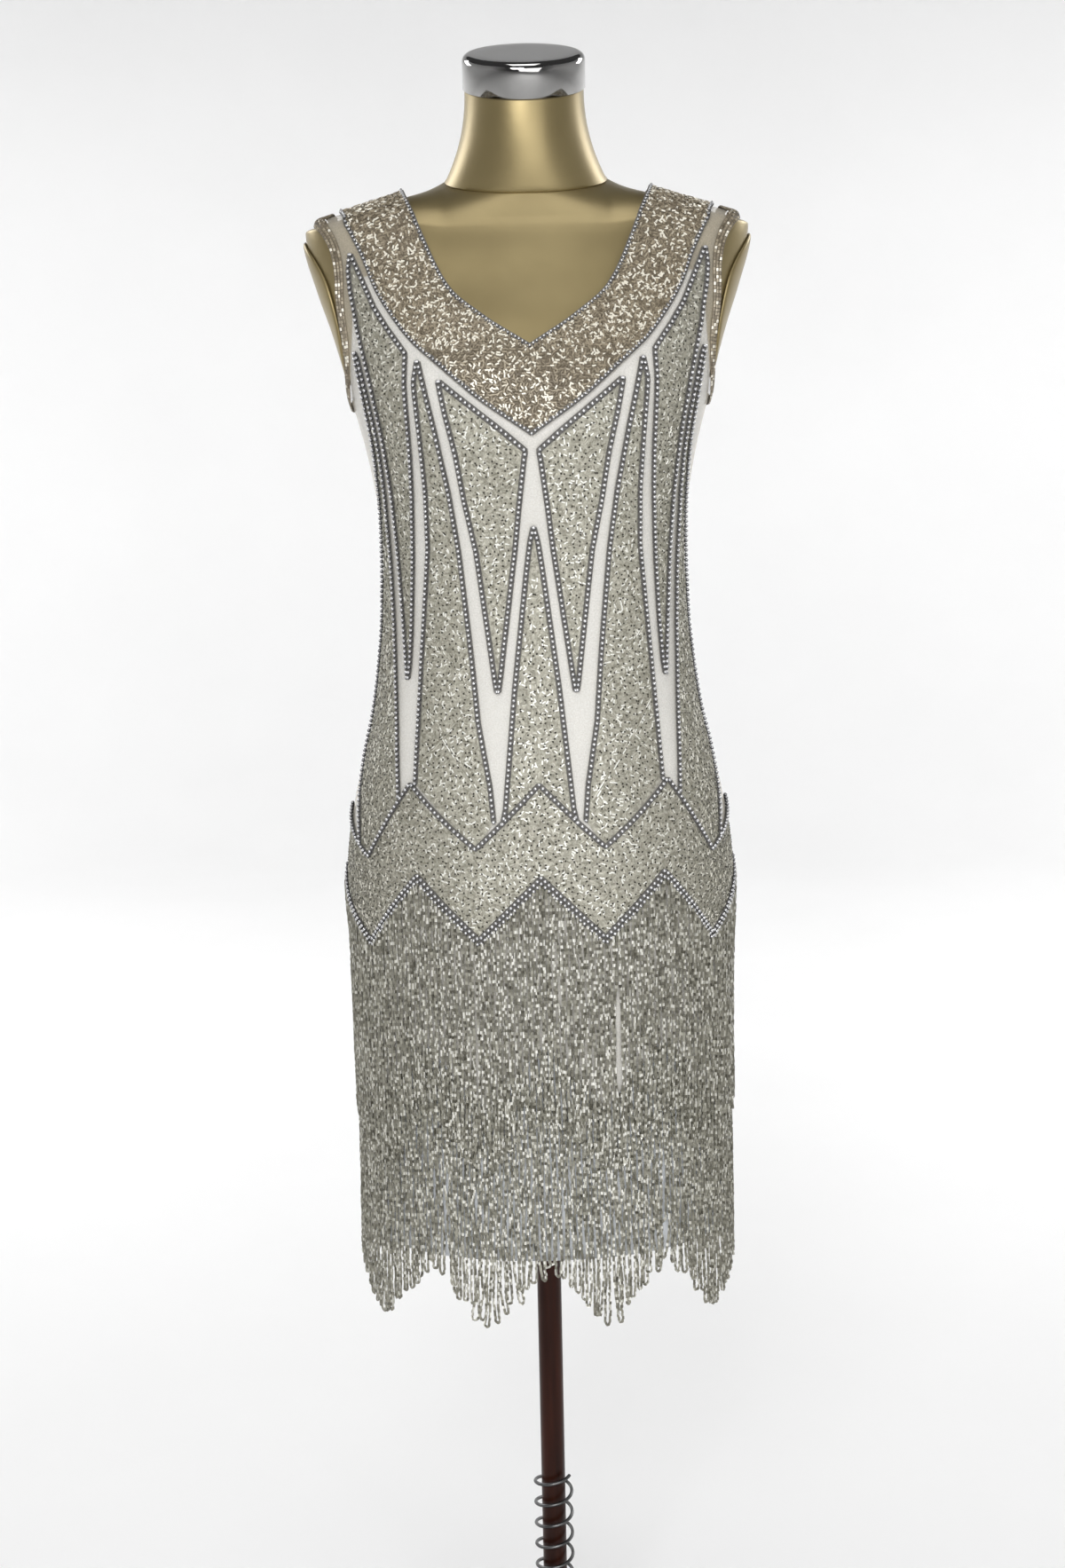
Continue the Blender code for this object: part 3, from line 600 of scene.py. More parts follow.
def mesh_piece(name, points, faces, material, smooth=True, tones=None):
    """Piece from an array of points and arrays of faces, each array with faces of one kind."""
    mesh = bpy.data.meshes.new(name)
    points = np.asarray(points, float).reshape(-1, 3)
    faces = [np.asarray(group, int) for group in faces if len(group)]
    sizes = np.concatenate([np.full(len(group), group.shape[1]) for group in faces])
    mesh.vertices.add(len(points))
    mesh.vertices.foreach_set("co", points.ravel())
    mesh.loops.add(int(sizes.sum()))
    mesh.loops.foreach_set("vertex_index", np.concatenate([group.ravel() for group in faces]))
    mesh.polygons.add(len(sizes))
    mesh.polygons.foreach_set("loop_start", np.concatenate([[0], np.cumsum(sizes)[:-1]]))
    mesh.update(calc_edges=True)
    mesh.polygons.foreach_set("use_smooth", np.full(len(sizes), smooth))
    if tones is not None:
        mesh.attributes.new("tone", "FLOAT", "POINT").data.foreach_set("value", np.asarray(tones, float))
    mesh.materials.append(material)
    piece = bpy.data.objects.new(name, mesh)
    bpy.context.scene.collection.objects.link(piece)
    return piece


def on_form(piece, slot, *nodes):
    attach(piece, "root")
    if nodes:
        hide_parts(*nodes)
    return piece


def grid_faces(rows, columns, closed=False):
    """Quads of a grid of points; closed joins its last column to its first."""
    low = np.arange(rows - 1)[:, None] * columns
    left = np.arange(columns if closed else columns - 1)[None, :]
    right = (left + 1) % columns
    return np.stack([low + left, low + right, low + columns + right, low + columns + left], -1).reshape(-1, 4)


MIRROR = np.array([-1.0, 1.0, 1.0])


def both_hands(points, faces, flipped):
    """A half and its mirror image, as points and one array of faces, turned round if flipped."""
    faces = faces[:, ::-1] if flipped else faces
    mirrored = faces[:, ::-1] + len(points)
    return np.concatenate([points, points * MIRROR]), [np.concatenate([faces, mirrored])]


def weld(piece, distance=0.00002):
    joined = piece.modifiers.new("joined at the middle", "WELD")
    joined.merge_threshold = distance


def thicken(piece, wall):
    solid = piece.modifiers.new("thickness", "SOLIDIFY")
    solid.thickness = wall
    solid.offset = 1.0


def stamp(shape, places, axes):
    """Copies of a small shape, one at each place, turned to each place's three directions."""
    points, faces = shape
    moved = np.einsum("pk,nkc->npc", points, axes) + places[:, None, :]
    shift = np.arange(len(places))[:, None, None] * len(points)
    return moved.reshape(-1, 3), [(group[None] + shift).reshape(-1, group.shape[1]) for group in faces]


def gathered(batches):
    """Several stamped batches as one."""
    points, faces, count = [], [], 0
    for batch_points, batch_faces in batches:
        points.append(batch_points)
        faces += [group + count for group in batch_faces]
        count += len(batch_points)
    return np.concatenate(points), faces


def bead_tones(count, per_bead, painted_glint_share):
    """One tone for each bead, at each of its points: mostly middling at random, and a share of them painted
    bright as glints.
    """
    tone = random.beta(2.2, 3.2, count) * 0.8
    tone[random.random(count) < painted_glint_share] = 1.0
    return np.repeat(tone, per_bead)


def painted_edge_highlights(count):
    """Tones of strand beads: random, with a painted highlight along one edge, or two, on a share of them."""
    tones = np.repeat(random.beta(2.2, 3.2, count)[:, None] * 0.7, 6, axis=1)
    highlit_beads = random.random(count) < 0.5
    edge = random.integers(0, 3, count)
    # Painted highlight: both ends of the chosen edge are set bright
    for end in (0, 3):
        tones[highlit_beads, edge[highlit_beads] + end] = 1.0
    return tones.ravel()


def with_painted_side_shade(tones, points, most):
    """Tones darkened by painted shade toward the side seams, by a share at most."""
    share = np.clip((np.abs(points[:, 0]) - SIDE_SHADE_START) / (SIDE_SHADE_END - SIDE_SHADE_START), 0.0, 1.0)
    return tones * (1 - most * share)


def full_turn(count):
    """Angles evenly round a circle, with the first at zero."""
    return 2 * math.pi * np.arange(count) / count


def half_bugle(length, radius):
    """Upper half of a six-sided tube that lies on the cloth."""
    profile = np.array([[math.cos(a), math.sin(a)] for a in np.linspace(0.0, math.pi, 4)]) * radius
    ends = [[x, y, z] for x in (-length / 2, length / 2) for y, z in profile]
    faces = np.array([[k, k + 1, k + 5, k + 4] for k in range(3)])
    return np.array(ends), [faces]


def dot(radius):
    """Low four-sided point, for a small dark bead."""
    across, rise = radius * 0.8, radius * 0.5
    corners = [[radius, 0, 0], [0, across, 0], [-radius, 0, 0], [0, -across, 0], [0, 0, rise]]
    return np.array(corners), [np.array([[k, (k + 1) % 4, 4] for k in range(4)])]


def strand_bead(length, radius):
    """Three-sided cut bead, long along its first direction."""
    turns = full_turn(3)
    points = [[end * length / 2, radius * math.cos(t), radius * math.sin(t)]
              for end in (-1, 1) for t in turns]
    sides = [[k, (k + 1) % 3, (k + 1) % 3 + 3, k + 3] for k in range(3)]
    return np.array(points), [np.array(sides)[:, ::-1], np.array([[0, 1, 2], [5, 4, 3]])]


def ball(radius, segments=6):
    """Small ball of two rings of points and two poles."""
    points = [[0, 0, radius], [0, 0, -radius]]
    for tilt in (math.pi / 3, math.pi * 2 / 3):
        ring, height = radius * math.sin(tilt), radius * math.cos(tilt)
        points += [[ring * math.cos(turn), ring * math.sin(turn), height] for turn in full_turn(segments)]
    caps, sides = [], []
    for k in range(segments):
        high, high_next = 2 + k, 2 + (k + 1) % segments
        low, low_next = high + segments, high_next + segments
        caps += [[0, high, high_next], [1, low_next, low]]
        sides.append([high, low, low_next, high_next])
    return np.array(points), [np.array(caps), np.array(sides)]


# Materials


def new_material(name):
    material = bpy.data.materials.new(name)
    material.use_nodes = True
    tree = material.node_tree
    return material, tree, tree.nodes["Principled BSDF"]


def node(tree, kind, values=None, links=None, operation=None):
    """Outputs of a new node whose inputs are set to values or linked to other nodes' outputs."""
    made = tree.nodes.new("ShaderNode" + kind)
    if operation:
        made.operation = operation
    for name, value in (values or {}).items():
        made.inputs[name].default_value = value
    for name, output in (links or {}).items():
        tree.links.new(output, made.inputs[name])
    return made.outputs


def noise(tree, scale, detail=3.0, stretch=(1.0, 1.0, 1.0)):
    place = node(tree, "TexCoord")["Object"]
    mapped = node(tree, "Mapping", {"Scale": stretch}, {"Vector": place})["Vector"]
    return node(tree, "TexNoise", {"Scale": scale, "Detail": detail}, {"Vector": mapped})["Fac"]


def ramp(tree, factor, stops):
    made = tree.nodes.new("ShaderNodeValToRGB")
    while len(made.color_ramp.elements) < len(stops):
        made.color_ramp.elements.new(0.5)
    for element, (position, colour) in zip(made.color_ramp.elements, stops):
        element.position = position
        element.color = (*colour, 1.0)
    tree.links.new(factor, made.inputs["Fac"])
    return made.outputs["Color"]


def spread(tree, factor, low, high):
    return node(tree, "MapRange", {"To Min": low, "To Max": high}, {"Value": factor})["Result"]


def bump(tree, shader, height, distance):
    normal = node(tree, "Bump", {"Distance": distance, "Strength": 1.0}, {"Height": height})["Normal"]
    tree.links.new(normal, shader.inputs["Normal"])


def along_axis(tree, axis):
    """Place along an axis of the object's own space."""
    return node(tree, "SeparateXYZ", links={"Vector": node(tree, "TexCoord")["Object"]})[axis]


def fading(tree, colour, place, start, end, least):
    """Colour that sinks to a share of itself between two places."""
    limits = {"From Min": start, "From Max": end, "To Min": 1.0, "To Max": least}
    share = node(tree, "MapRange", limits, {"Value": place})["Result"]
    return node(tree, "VectorMath", links={0: colour, "Scale": share}, operation="SCALE")["Vector"]


# Painted shade: colour that sinks toward the side seams, by a share at most
def painted_side_shade(tree, colour, least):
    distance = node(tree, "Math", links={0: along_axis(tree, "X")}, operation="ABSOLUTE")["Value"]
    return fading(tree, colour, distance, SIDE_SHADE_START, SIDE_SHADE_END, least)


def mottled(name, dark, light, scale, roughness, metallic=0.0, coat=0.0, bump_depth=0.0,
            stretch=(1.0, 1.0, 1.0), least_under_side_shade=1.0, specular=0.5):
    """Material whose colour and roughness drift a little over its surface."""
    material, tree, shader = new_material(name)
    factor = noise(tree, scale, stretch=stretch)
    colour = ramp(tree, factor, [(0.30, dark), (0.70, light)])
    # Painted shade: when asked for, the colour darkens toward the side seams
    if least_under_side_shade < 1.0:
        colour = painted_side_shade(tree, colour, least_under_side_shade)
    tree.links.new(colour, shader.inputs["Base Color"])
    tree.links.new(spread(tree, factor, *roughness), shader.inputs["Roughness"])
    shader.inputs["Metallic"].default_value = metallic
    shader.inputs["Coat Weight"].default_value = coat
    shader.inputs["Coat Roughness"].default_value = 0.38
    shader.inputs["Specular IOR Level"].default_value = specular
    if bump_depth:
        bump(tree, shader, noise(tree, scale * 9, stretch=stretch), bump_depth)
    return material


def beaded(name, stops, roughness, metallic):
    """Glass or metal beads whose colour follows a tone at each point: random for each bead, with painted
    highlights and shade on some pieces.
    """
    material, tree, shader = new_material(name)
    tone = tree.nodes.new("ShaderNodeAttribute")
    tone.attribute_name = "tone"
    tree.links.new(ramp(tree, tone.outputs["Fac"], stops), shader.inputs["Base Color"])
    tree.links.new(spread(tree, tone.outputs["Fac"], roughness, roughness * 0.7), shader.inputs["Roughness"])
    shader.inputs["Metallic"].default_value = metallic
    return material


def sheer(name, colour, opacity):
    """Fine net: part of it lets what is behind it show."""
    material, tree, shader = new_material(name)
    factor = noise(tree, 900.0, 1.0)
    tree.links.new(ramp(tree, factor, [(0.3, tuple(c * 0.9 for c in colour)), (0.7, colour)]),
                   shader.inputs["Base Color"])
    tree.links.new(spread(tree, factor, *opacity), shader.inputs["Alpha"])
    shader.inputs["Roughness"].default_value = 0.75
    shader.inputs["Sheen Weight"].default_value = 0.2
    return material


GOLD = mottled("gold", (0.25, 0.195, 0.088), (0.33, 0.262, 0.125), 9.0, (0.36, 0.46), 0.75, 0.35,
               bump_depth=0.00012)
CHROME = mottled("chrome", (0.33, 0.327, 0.32), (0.38, 0.375, 0.37), 40.0, (0.05, 0.09), 1.0)
MAHOGANY = mottled("mahogany", (0.012, 0.0028, 0.0012), (0.040, 0.0090, 0.0034), 14.0, (0.26, 0.36),
                   stretch=(6.0, 6.0, 0.5), specular=0.15)
STEEL = mottled("spring steel", (0.09, 0.09, 0.09), (0.19, 0.19, 0.19), 60.0, (0.30, 0.42), 1.0)
ENAMEL = mottled("base enamel", (0.022, 0.022, 0.024), (0.034, 0.034, 0.036), 30.0, (0.28, 0.40), 0.0, 0.3,
                 bump_depth=0.00005)
SATIN = mottled("white satin", (0.79, 0.82, 0.86), (0.85, 0.88, 0.92), 12.0, (0.42, 0.55),
                bump_depth=0.00006)
NET = sheer("sheer net", (0.82, 0.75, 0.62), (0.32, 0.44))
# Beaded ground: random mottling, with painted shade toward the side seams
PANEL = mottled("beaded ground", (0.22, 0.21, 0.165), (0.60, 0.58, 0.49), 360.0, (0.45, 0.65),
                bump_depth=0.0003, least_under_side_shade=0.62)
BAND = mottled("band ground", (0.10, 0.080, 0.052), (0.26, 0.215, 0.150), 500.0, (0.40, 0.60),
               bump_depth=0.0004)
# Bugle tones: random, a share painted bright as glints, and painted shade toward the side seams
VERMICELLI = beaded("silver-lined bugles", [(0.0, (0.20, 0.19, 0.14)), (0.55, (0.60, 0.58, 0.50)),
                                            (1.0, (1.0, 1.0, 0.95))], 0.42, 0.1)
# Band bugle tones: random, with a share painted bright as glints
BAND_BUGLES = beaded("band bugles", [(0.0, (0.11, 0.086, 0.054)), (0.55, (0.38, 0.325, 0.235)),
                                     (1.0, (0.86, 0.82, 0.71))], 0.46, 0.1)
DARK = mottled("dark beads", (0.020, 0.018, 0.012), (0.045, 0.040, 0.028), 200.0, (0.75, 0.85))
# Silver ball tones carry a painted highlight above and painted shade below
SILVER = beaded("silver balls", [(0.0, (0.040, 0.040, 0.042)), (0.30, (0.36, 0.36, 0.37)),
                                 (1.0, (1.0, 1.0, 1.0))], 0.30, 0.6)
# Fringe bead tones carry painted edge highlights and painted shade toward the side seams
STRANDS = beaded("fringe beads", [(0.0, (0.105, 0.098, 0.074)), (0.45, (0.33, 0.32, 0.265)),
                                  (1.0, (1.0, 0.99, 0.93))], 0.34, 0.2)
# Painted shadow: dark colour of the strips under the lines of silver balls
BALL_SHADOW_STRIP = mottled("thread under the balls", (0.085, 0.080, 0.074), (0.150, 0.143, 0.132), 300.0, (0.6, 0.8))


# Form and stand


def loft(name, rings, material):
    """Closed piece through rings of equal count, with flat ends."""
    count = len(rings[0])
    points = np.concatenate(rings)
    ends = [np.arange(count)[::-1][None], np.arange((len(rings) - 1) * count, len(rings) * count)[None]]
    piece = mesh_piece(name, points, [grid_faces(len(rings), count, closed=True)] + ends, material)
    piece.data.set_sharp_from_angle(angle=math.radians(50))
    return piece


def level_ring(level, columns=36):
    """Closed ring of a level section, anticlockwise from the middle of the front."""
    shares = np.linspace(0.0, 1.0, columns + 1)
    front = on_skin(shares * quarter_arc(level, FRONT), level, FRONT)
    back = on_skin(shares * quarter_arc(level, BACK), level, BACK)
    right = np.concatenate([front, back[-2::-1]])
    return np.concatenate([right, right[-2:0:-1] * MIRROR])


def torso_ring(level):
    """Ring that tips forward near the neck, but only inside the garment's neckline."""
    rise = max(0.0, (level - NECK_SLOPE_START) / (SECTIONS[-1].height - NECK_SLOPE_START)) ** 3
    ring = level_ring(level)
    bare = np.clip((NECK_BARE_OUTER - np.abs(ring[:, 0])) / (NECK_BARE_OUTER - NECK_BARE_INNER), 0.0, 1.0)
    ring[:, 2] += NECK_SEAM_SLOPE * rise * bare * ring[:, 1]
    return ring


def build_form():
    lowest = level_ring(FORM_BOTTOM)
    rings = [lowest * np.array([FORM_FOOT_SHARE, FORM_FOOT_SHARE, 1.0])]
    for turn in np.radians([15, 40, 65, 90]):
        share = FORM_FOOT_SHARE + (1 - FORM_FOOT_SHARE) * math.sin(turn)
        ring = lowest * np.array([share, share, 1.0])
        rings.append(ring + np.array([0.0, 0.0, FORM_EDGE_HEIGHT * (1 - math.cos(turn))]))
    levels = np.concatenate([np.arange(0.815, 1.365, 0.009), np.linspace(1.366, SECTIONS[-1].height, 52)])
    rings += [torso_ring(level) for level in levels]
    seam = rings[-1]
    middle = seam.mean(axis=0)
    rings.append(middle + (seam - middle) * 0.985 + np.array([0.0, 0.0, 0.0002]))
    on_form(loft("smooth_torso", rings, GOLD), "form_gold", "form_torso")

    base = seam + np.array([0.0, 0.0, PIECE_GAP])
    turns = full_turn(len(base))
    ahead = -np.cos(turns)
    circle = np.stack([np.sin(turns), ahead * math.cos(NECK_TILT), ahead * math.sin(NECK_TILT)], -1)
    top = NECK_TOP + circle * NECK_TOP_RADIUS
    middle = base.mean(axis=0)
    rings = [middle + (base - middle) * 0.982, base + np.array([0.0, 0.0, 0.0012])]
    for share in np.linspace(0.04, 1.0, 26):
        pull = 1 - (1 - share) ** NECK_FLARE
        rings.append(base + (top - base) * np.array([pull, pull, share]))
    on_form(loft("smooth_neck", rings, GOLD), "form_gold", "form_neck")

    for label, hand in HANDS:
        build_plate(label, hand)


def build_plate(label, hand):
    """Oval plate that closes the form at an arm, with a rounded rim."""
    turns = full_turn(72)
    profile = [(share, 1.0) for share in np.linspace(0.04, 0.94, 10)]
    profile += [(0.975, 0.88), (0.993, 0.62), (1.0, 0.30), (1.0, 0.0)]
    rings = []
    for share, rise in profile:
        y = PLATE_HALF_DEPTH * share * np.sin(turns)
        height = PLATE_HEIGHT + PLATE_HALF_HEIGHT * share * np.cos(turns)
        ring = np.stack([hand * skin_x(y, height), y, height], -1)
        rings.append(lifted(ring, PLATE_LIFT + PLATE_WALL * rise))
    if hand > 0:
        rings = [ring[::-1] for ring in rings]
    on_form(loft("smooth_arm_plate_" + label, rings, GOLD), "form_gold", "arm_plate_" + label)


def lathe(name, profile, material, segments=96):
    """Turned piece from a profile of radius and height, bottom to top."""
    turns = full_turn(segments)
    rings = [np.stack([radius * np.cos(turns), radius * np.sin(turns), np.full(segments, height)], -1)
             for radius, height in profile]
    return loft(name, rings, material)


def rounded(radius, height, inner_radius, inner_height, steps=6):
    """Quarter turn of a profile's rounded edge, from its side to its top."""
    angles = np.linspace(0.0, math.pi / 2, steps)
    return [(inner_radius + (radius - inner_radius) * math.cos(a),
             inner_height + (height - inner_height) * math.sin(a)) for a in angles]


def build_stand():
    edge = CAP_EDGE_RADIUS
    profile = [(CAP_RADIUS - 0.001, 0.0), (CAP_RADIUS, 0.001)]
    profile += rounded(CAP_RADIUS, CAP_HEIGHT, CAP_RADIUS - edge, CAP_HEIGHT - edge, 9)
    profile += [(radius, CAP_HEIGHT) for radius in (0.035, 0.018, 0.004)]
    cap = lathe("polished_cap", profile, CHROME, 128)
    upward = np.array([0.0, -math.sin(NECK_TILT), math.cos(NECK_TILT)])
    cap.location = NECK_TOP + upward * PIECE_GAP
    cap.rotation_euler = (NECK_TILT, 0.0, 0.0)
    on_form(cap, "chrome", "neck_cap")

    heights = np.linspace(HUB_HEIGHT + PIECE_GAP, FORM_BOTTOM - PIECE_GAP, 30)
    on_form(lathe("lacquered_pole", [(POLE_RADIUS, height) for height in heights], MAHOGANY, 64),
            "mahogany", "pole")

    profile = [(BASE_RADIUS - 0.002, 0.0), (BASE_RADIUS, 0.002)]
    profile += rounded(BASE_RADIUS, BASE_RIM_HEIGHT, BASE_RADIUS - BASE_EDGE, BASE_RIM_HEIGHT - BASE_EDGE)
    profile += [(radius, BASE_RIM_HEIGHT + (BASE_HEIGHT - BASE_RIM_HEIGHT) * (0.16 - radius) / 0.11)
                for radius in (0.155, 0.12, 0.085, 0.06, 0.050)]
    for turn in np.radians([8, 26, 44, 62, 80]):
        profile.append((HUB_FOOT_RADIUS - (HUB_FOOT_RADIUS - HUB_RADIUS) * math.sin(turn),
                        HUB_FOOT_HEIGHT - (HUB_FOOT_HEIGHT - BASE_HEIGHT) * math.cos(turn)))
    profile += rounded(HUB_RADIUS, HUB_HEIGHT, HUB_RADIUS - HUB_EDGE, HUB_HEIGHT - HUB_EDGE)
    profile += [(POLE_RADIUS * 0.5, HUB_HEIGHT)]
    on_form(lathe("round_base", profile, ENAMEL, 128), "base_enamel", "base")

    bottom = HUB_HEIGHT + SPRING_WIRE + PIECE_GAP
    turns = (SPRING_TOP - bottom) / SPRING_PITCH
    stations = round(turns * 40)
    angles = 2 * math.pi * turns * np.arange(stations + 1) / stations
    path = np.stack([SPRING_RADIUS * np.cos(angles), SPRING_RADIUS * np.sin(angles),
                     bottom + SPRING_PITCH * angles / (2 * math.pi)], -1)
    out = np.stack([np.cos(angles), np.sin(angles), np.zeros_like(angles)], -1)
    up = np.cross(unit(np.gradient(path, axis=0)), out)
    around = full_turn(12)
    rings = [point + SPRING_WIRE * (np.cos(around)[:, None] * o - np.sin(around)[:, None] * u)
             for point, o, u in zip(path, out, up)]
    on_form(loft("coil_spring", rings, STEEL), "spring_steel", "spring")


# Cloth


def cloth_half(levels, side, columns, lift, inner_of, outer_of, first_row=None):
    """Front or back of a cloth between its edges at each level, kept off the side seams."""
    rows = [] if first_row is None else [first_row]
    for level in levels:
        rows.append(lifted(skin_row(level, inner_of(level), outer_of(level), side, columns), lift))
    rows = np.array(rows)
    rows[..., 1] = side * np.maximum(side * rows[..., 1], PIECE_GAP)
    return both_hands(rows.reshape(-1, 3), grid_faces(len(rows), columns + 1), side == BACK)


def build_slip(label, side):
    """White slip under the net, with a scooped neckline."""
    scoop = SLIP_EDGES[0].height
    low = np.append(np.arange(SLIP_HEM, 1.210, CLOTH_ROW_STEP), [1.2165, scoop])

    def inner(level):
        return float(slip_neckline_at(level))

    def outer(level):
        return float(armhole_x(level, side, BINDING_INSET) - slip_inset_at(level))

    high = even_levels(scoop, SLIP_EDGES[-1].height, side, lambda level: inner(level) + 0.01, 0.004)
    body = cloth_half(low, side, 40, SLIP_LIFT, lambda level: 0.0, half_width_at)
    top = cloth_half(high, side, 40, SLIP_LIFT, inner, outer)
    piece = mesh_piece("satin_slip_" + label, *gathered([body, top]), SATIN)
    weld(piece)
    thicken(piece, SLIP_WALL)
    return on_form(piece, "slip_satin", "slip_" + label)


def build_net(label, side):
    """Sheer net that carries all the beads, down to the zigzag of the lower tier."""
    columns = 52
    shares = np.linspace(0.0, 1.0, columns + 1)
    heights = fringe_height(shares, LOWER_TIER)
    hem = lifted(on_skin(shares * quarter_arc(heights, side), heights, side), NET_LIFT)
    low = np.append(np.arange(0.715, 1.245, CLOTH_ROW_STEP), BASE_LEVEL)
    high = even_levels(BASE_LEVEL, NECK_SIDE_HEIGHT, side, lambda level: 0.135, 0.004)
    body = cloth_half(low, side, columns, NET_LIFT, lambda level: 0.0, half_width_at, first_row=hem)
    top = cloth_half(high, side, columns, NET_LIFT, band_edges(side)[0],
                     lambda level: float(armhole_x(level, side, BINDING_INSET)))
    piece = mesh_piece("sheer_net_" + label, *gathered([body, top]), NET)
    weld(piece)
    return on_form(piece, "net_cloth", "net_" + label)


def band_edges(side):
    return (lambda level: float(neckline_at(neck_drop(level, side))),
            lambda level: float(band_outer_at(neck_drop(level, side))))


def band_levels(side, spacing):
    lowest = neck_rise(BAND_OUTER[0].height, side) + 0.0006
    point = neck_rise(NECKLINE[0].height, side)
    inner, outer = band_edges(side)
    low = np.arange(lowest, point, spacing)

    def middle(level):
        return (inner(level) + outer(level)) / 2

    return np.concatenate([low, even_levels(point, NECK_SIDE_HEIGHT, side, middle, spacing)])


def edge_line(edge, height, side):
    """Line along an edge of the neck band, from a height in the front's tables to the shoulder."""
    line = []
    for level in np.linspace(neck_rise(height, side), NECK_SIDE_HEIGHT, 160):
        x = np.array([edge(level)])
        line.append(skin_point(x, row_height(level, x), side)[0])
    return np.array(line)


def build_band(label, side):
    """Densely beaded neck band. The lines of its inner and outer edges are returned."""
    inner, outer = band_edges(side)
    points, faces = cloth_half(band_levels(side, 0.003), side, 16, BAND_LIFT, inner, outer)
    ground = mesh_piece("band_ground_" + label, points, faces, BAND)
    weld(ground)
    thicken(ground, TRIM_WALL)
    on_form(ground, "bead_trim", "neck_band_" + label)

    places = []
    columns = 80
    for level in band_levels(side, BAND_SPACING):
        row = skin_row(level, inner(level), outer(level), side, columns)
        count = int((steps_along(row).sum() - 0.002) / BAND_SPACING)
        if count < 1:
            continue
        at = (np.arange(count) + 0.5 + random.uniform(-0.35, 0.35, count)) / count * columns
        left = at.astype(int).clip(0, columns - 1)
        share = (at - left)[:, None]
        places.append(row[left] * (1 - share) + row[left + 1] * share)
    places = np.concatenate(places)
    places = np.concatenate([places, places * MIRROR])
    places[:, 2] += random.uniform(-0.4, 0.4, len(places)) * BAND_SPACING * 0.5
    axes = any_way(places)
    raised = lifted(places, BAND_BUGLE_LIFT + random.uniform(0.0, 0.0007, len(places)))
    points, faces = stamp(half_bugle(BAND_BUGLE_LENGTH, BAND_BUGLE_RADIUS), raised, axes)
    # Random bead tones, with a share painted bright as glints
    tones = bead_tones(len(places), 8, 0.24)
    on_form(mesh_piece("band_bugles_" + label, points, faces, BAND_BUGLES, False, tones), "bead_trim")
    return [edge_line(inner, NECKLINE[0].height, side), edge_line(outer, BAND_OUTER[0].height, side)]


def directions_round(loop):
    """Directions along a closed line at each of its points."""
    return unit(np.roll(loop, -1, axis=0) - np.roll(loop, 1, axis=0))


def build_binding(label, hand):
    """Binding round an armhole: rows of fine bugles on a narrow strip."""
    stations = 240
    turns = np.linspace(0.0, 2 * math.pi, 1441)
    rise = np.cos(turns)
    height = ARMHOLE_HEIGHT + np.where(rise > 0, ARMHOLE_RISE, ARMHOLE_DROP) * rise
    y = np.copysign(armhole_depth(height), -np.sin(turns))
    path = even_points(np.stack([hand * skin_x(y, height), y, height], -1), stations)[:-1]
    across = unit(np.cross(directions_round(path), outward(path)))
    inward = ((path - path.mean(axis=0)) * across).sum(-1) < 0
    across[inward] *= -1

    def ring(share):
        return to_skin(path + across * BINDING_WIDTH * share)

    rings = np.array([lifted(ring(share), BINDING_LIFT) for share in (0.0, 0.5, 1.0)])
    faces = grid_faces(3, stations, closed=True)
    normal = np.cross(rings[1, 0] - rings[0, 0], rings[0, 1] - rings[0, 0])
    if normal @ outward(rings[0, 0]) > 0:
        faces = faces[:, ::-1]
    strip = mesh_piece("binding_strip_" + label, rings.reshape(-1, 3), [faces], BAND)
    thicken(strip, TRIM_WALL)
    on_form(strip, "bead_trim", "armhole_binding_" + label)

    batches = []
    shape = half_bugle(BINDING_BUGLE_LENGTH, BINDING_BUGLE_RADIUS)
    for share in BINDING_ROWS:
        line = ring(share)
        closed = np.concatenate([line, line[:1]])
        places = even_points(closed, int(steps_along(closed).sum() / FINE_PITCH))[:-1]
        forward = directions_round(places)
        sideways = unit(np.cross(outward(places), forward))
        axes = np.stack([forward, sideways, np.cross(forward, sideways)], -2)
        batches.append(stamp(shape, lifted(places, BINDING_BUGLE_LIFT), axes))
    points, faces = gathered(batches)
    # Random bead tones, with a share painted bright as glints
    tones = bead_tones(len(points) // 8, 8, 0.12)
    on_form(mesh_piece("binding_bugles_" + label, points, faces, BAND_BUGLES, True, tones), "bead_trim")


# Beaded panels


def panel_edges(rows, side):
    heights = panel_height([row.height for row in rows], side)
    inner = np.array([row.inner for row in rows])
    outer = np.array([row.outer for row in rows])
    return heights, inner, outer


def fit_arc(arc, height, side):
    """Arcs are measured in front; behind, they keep their share of the way to the side seam."""
    if side == FRONT:
        return arc
    return arc * quarter_arc(height, BACK) / quarter_arc(height, FRONT)


def build_ground(label, side):
    """Embroidered ground of all the panels and of the hip band."""
    grids = []
    for rows in PANELS.values():
        heights, inner, outer = panel_edges(rows, side)
        levels = np.unique(np.concatenate([np.arange(heights[0], heights[-1], 0.006), heights]))[:, None]
        low = np.interp(levels, heights, inner)
        high = np.interp(levels, heights, outer)
        arcs = low + (high - low) * np.linspace(0.0, 1.0, 9)
        grids.append(lifted(on_skin(fit_arc(arcs, levels, side), levels, side), PANEL_LIFT))
    shares = np.linspace(0.0, 1.0, 121)
    bottom = fringe_height(shares, UPPER_TIER) - HIP_FOOT_DROP
    levels = bottom + (hip_height(shares) - bottom) * np.linspace(0.0, 1.0, 12)[:, None]
    grids.append(lifted(on_skin(shares * quarter_arc(levels, side), levels, side), HIP_LIFT))
    points, faces = gathered([both_hands(grid.reshape(-1, 3), grid_faces(*grid.shape[:2]), side == BACK)
                              for grid in grids])
    on_form(mesh_piece("panel_ground_" + label, points, faces, PANEL), "net_cloth")


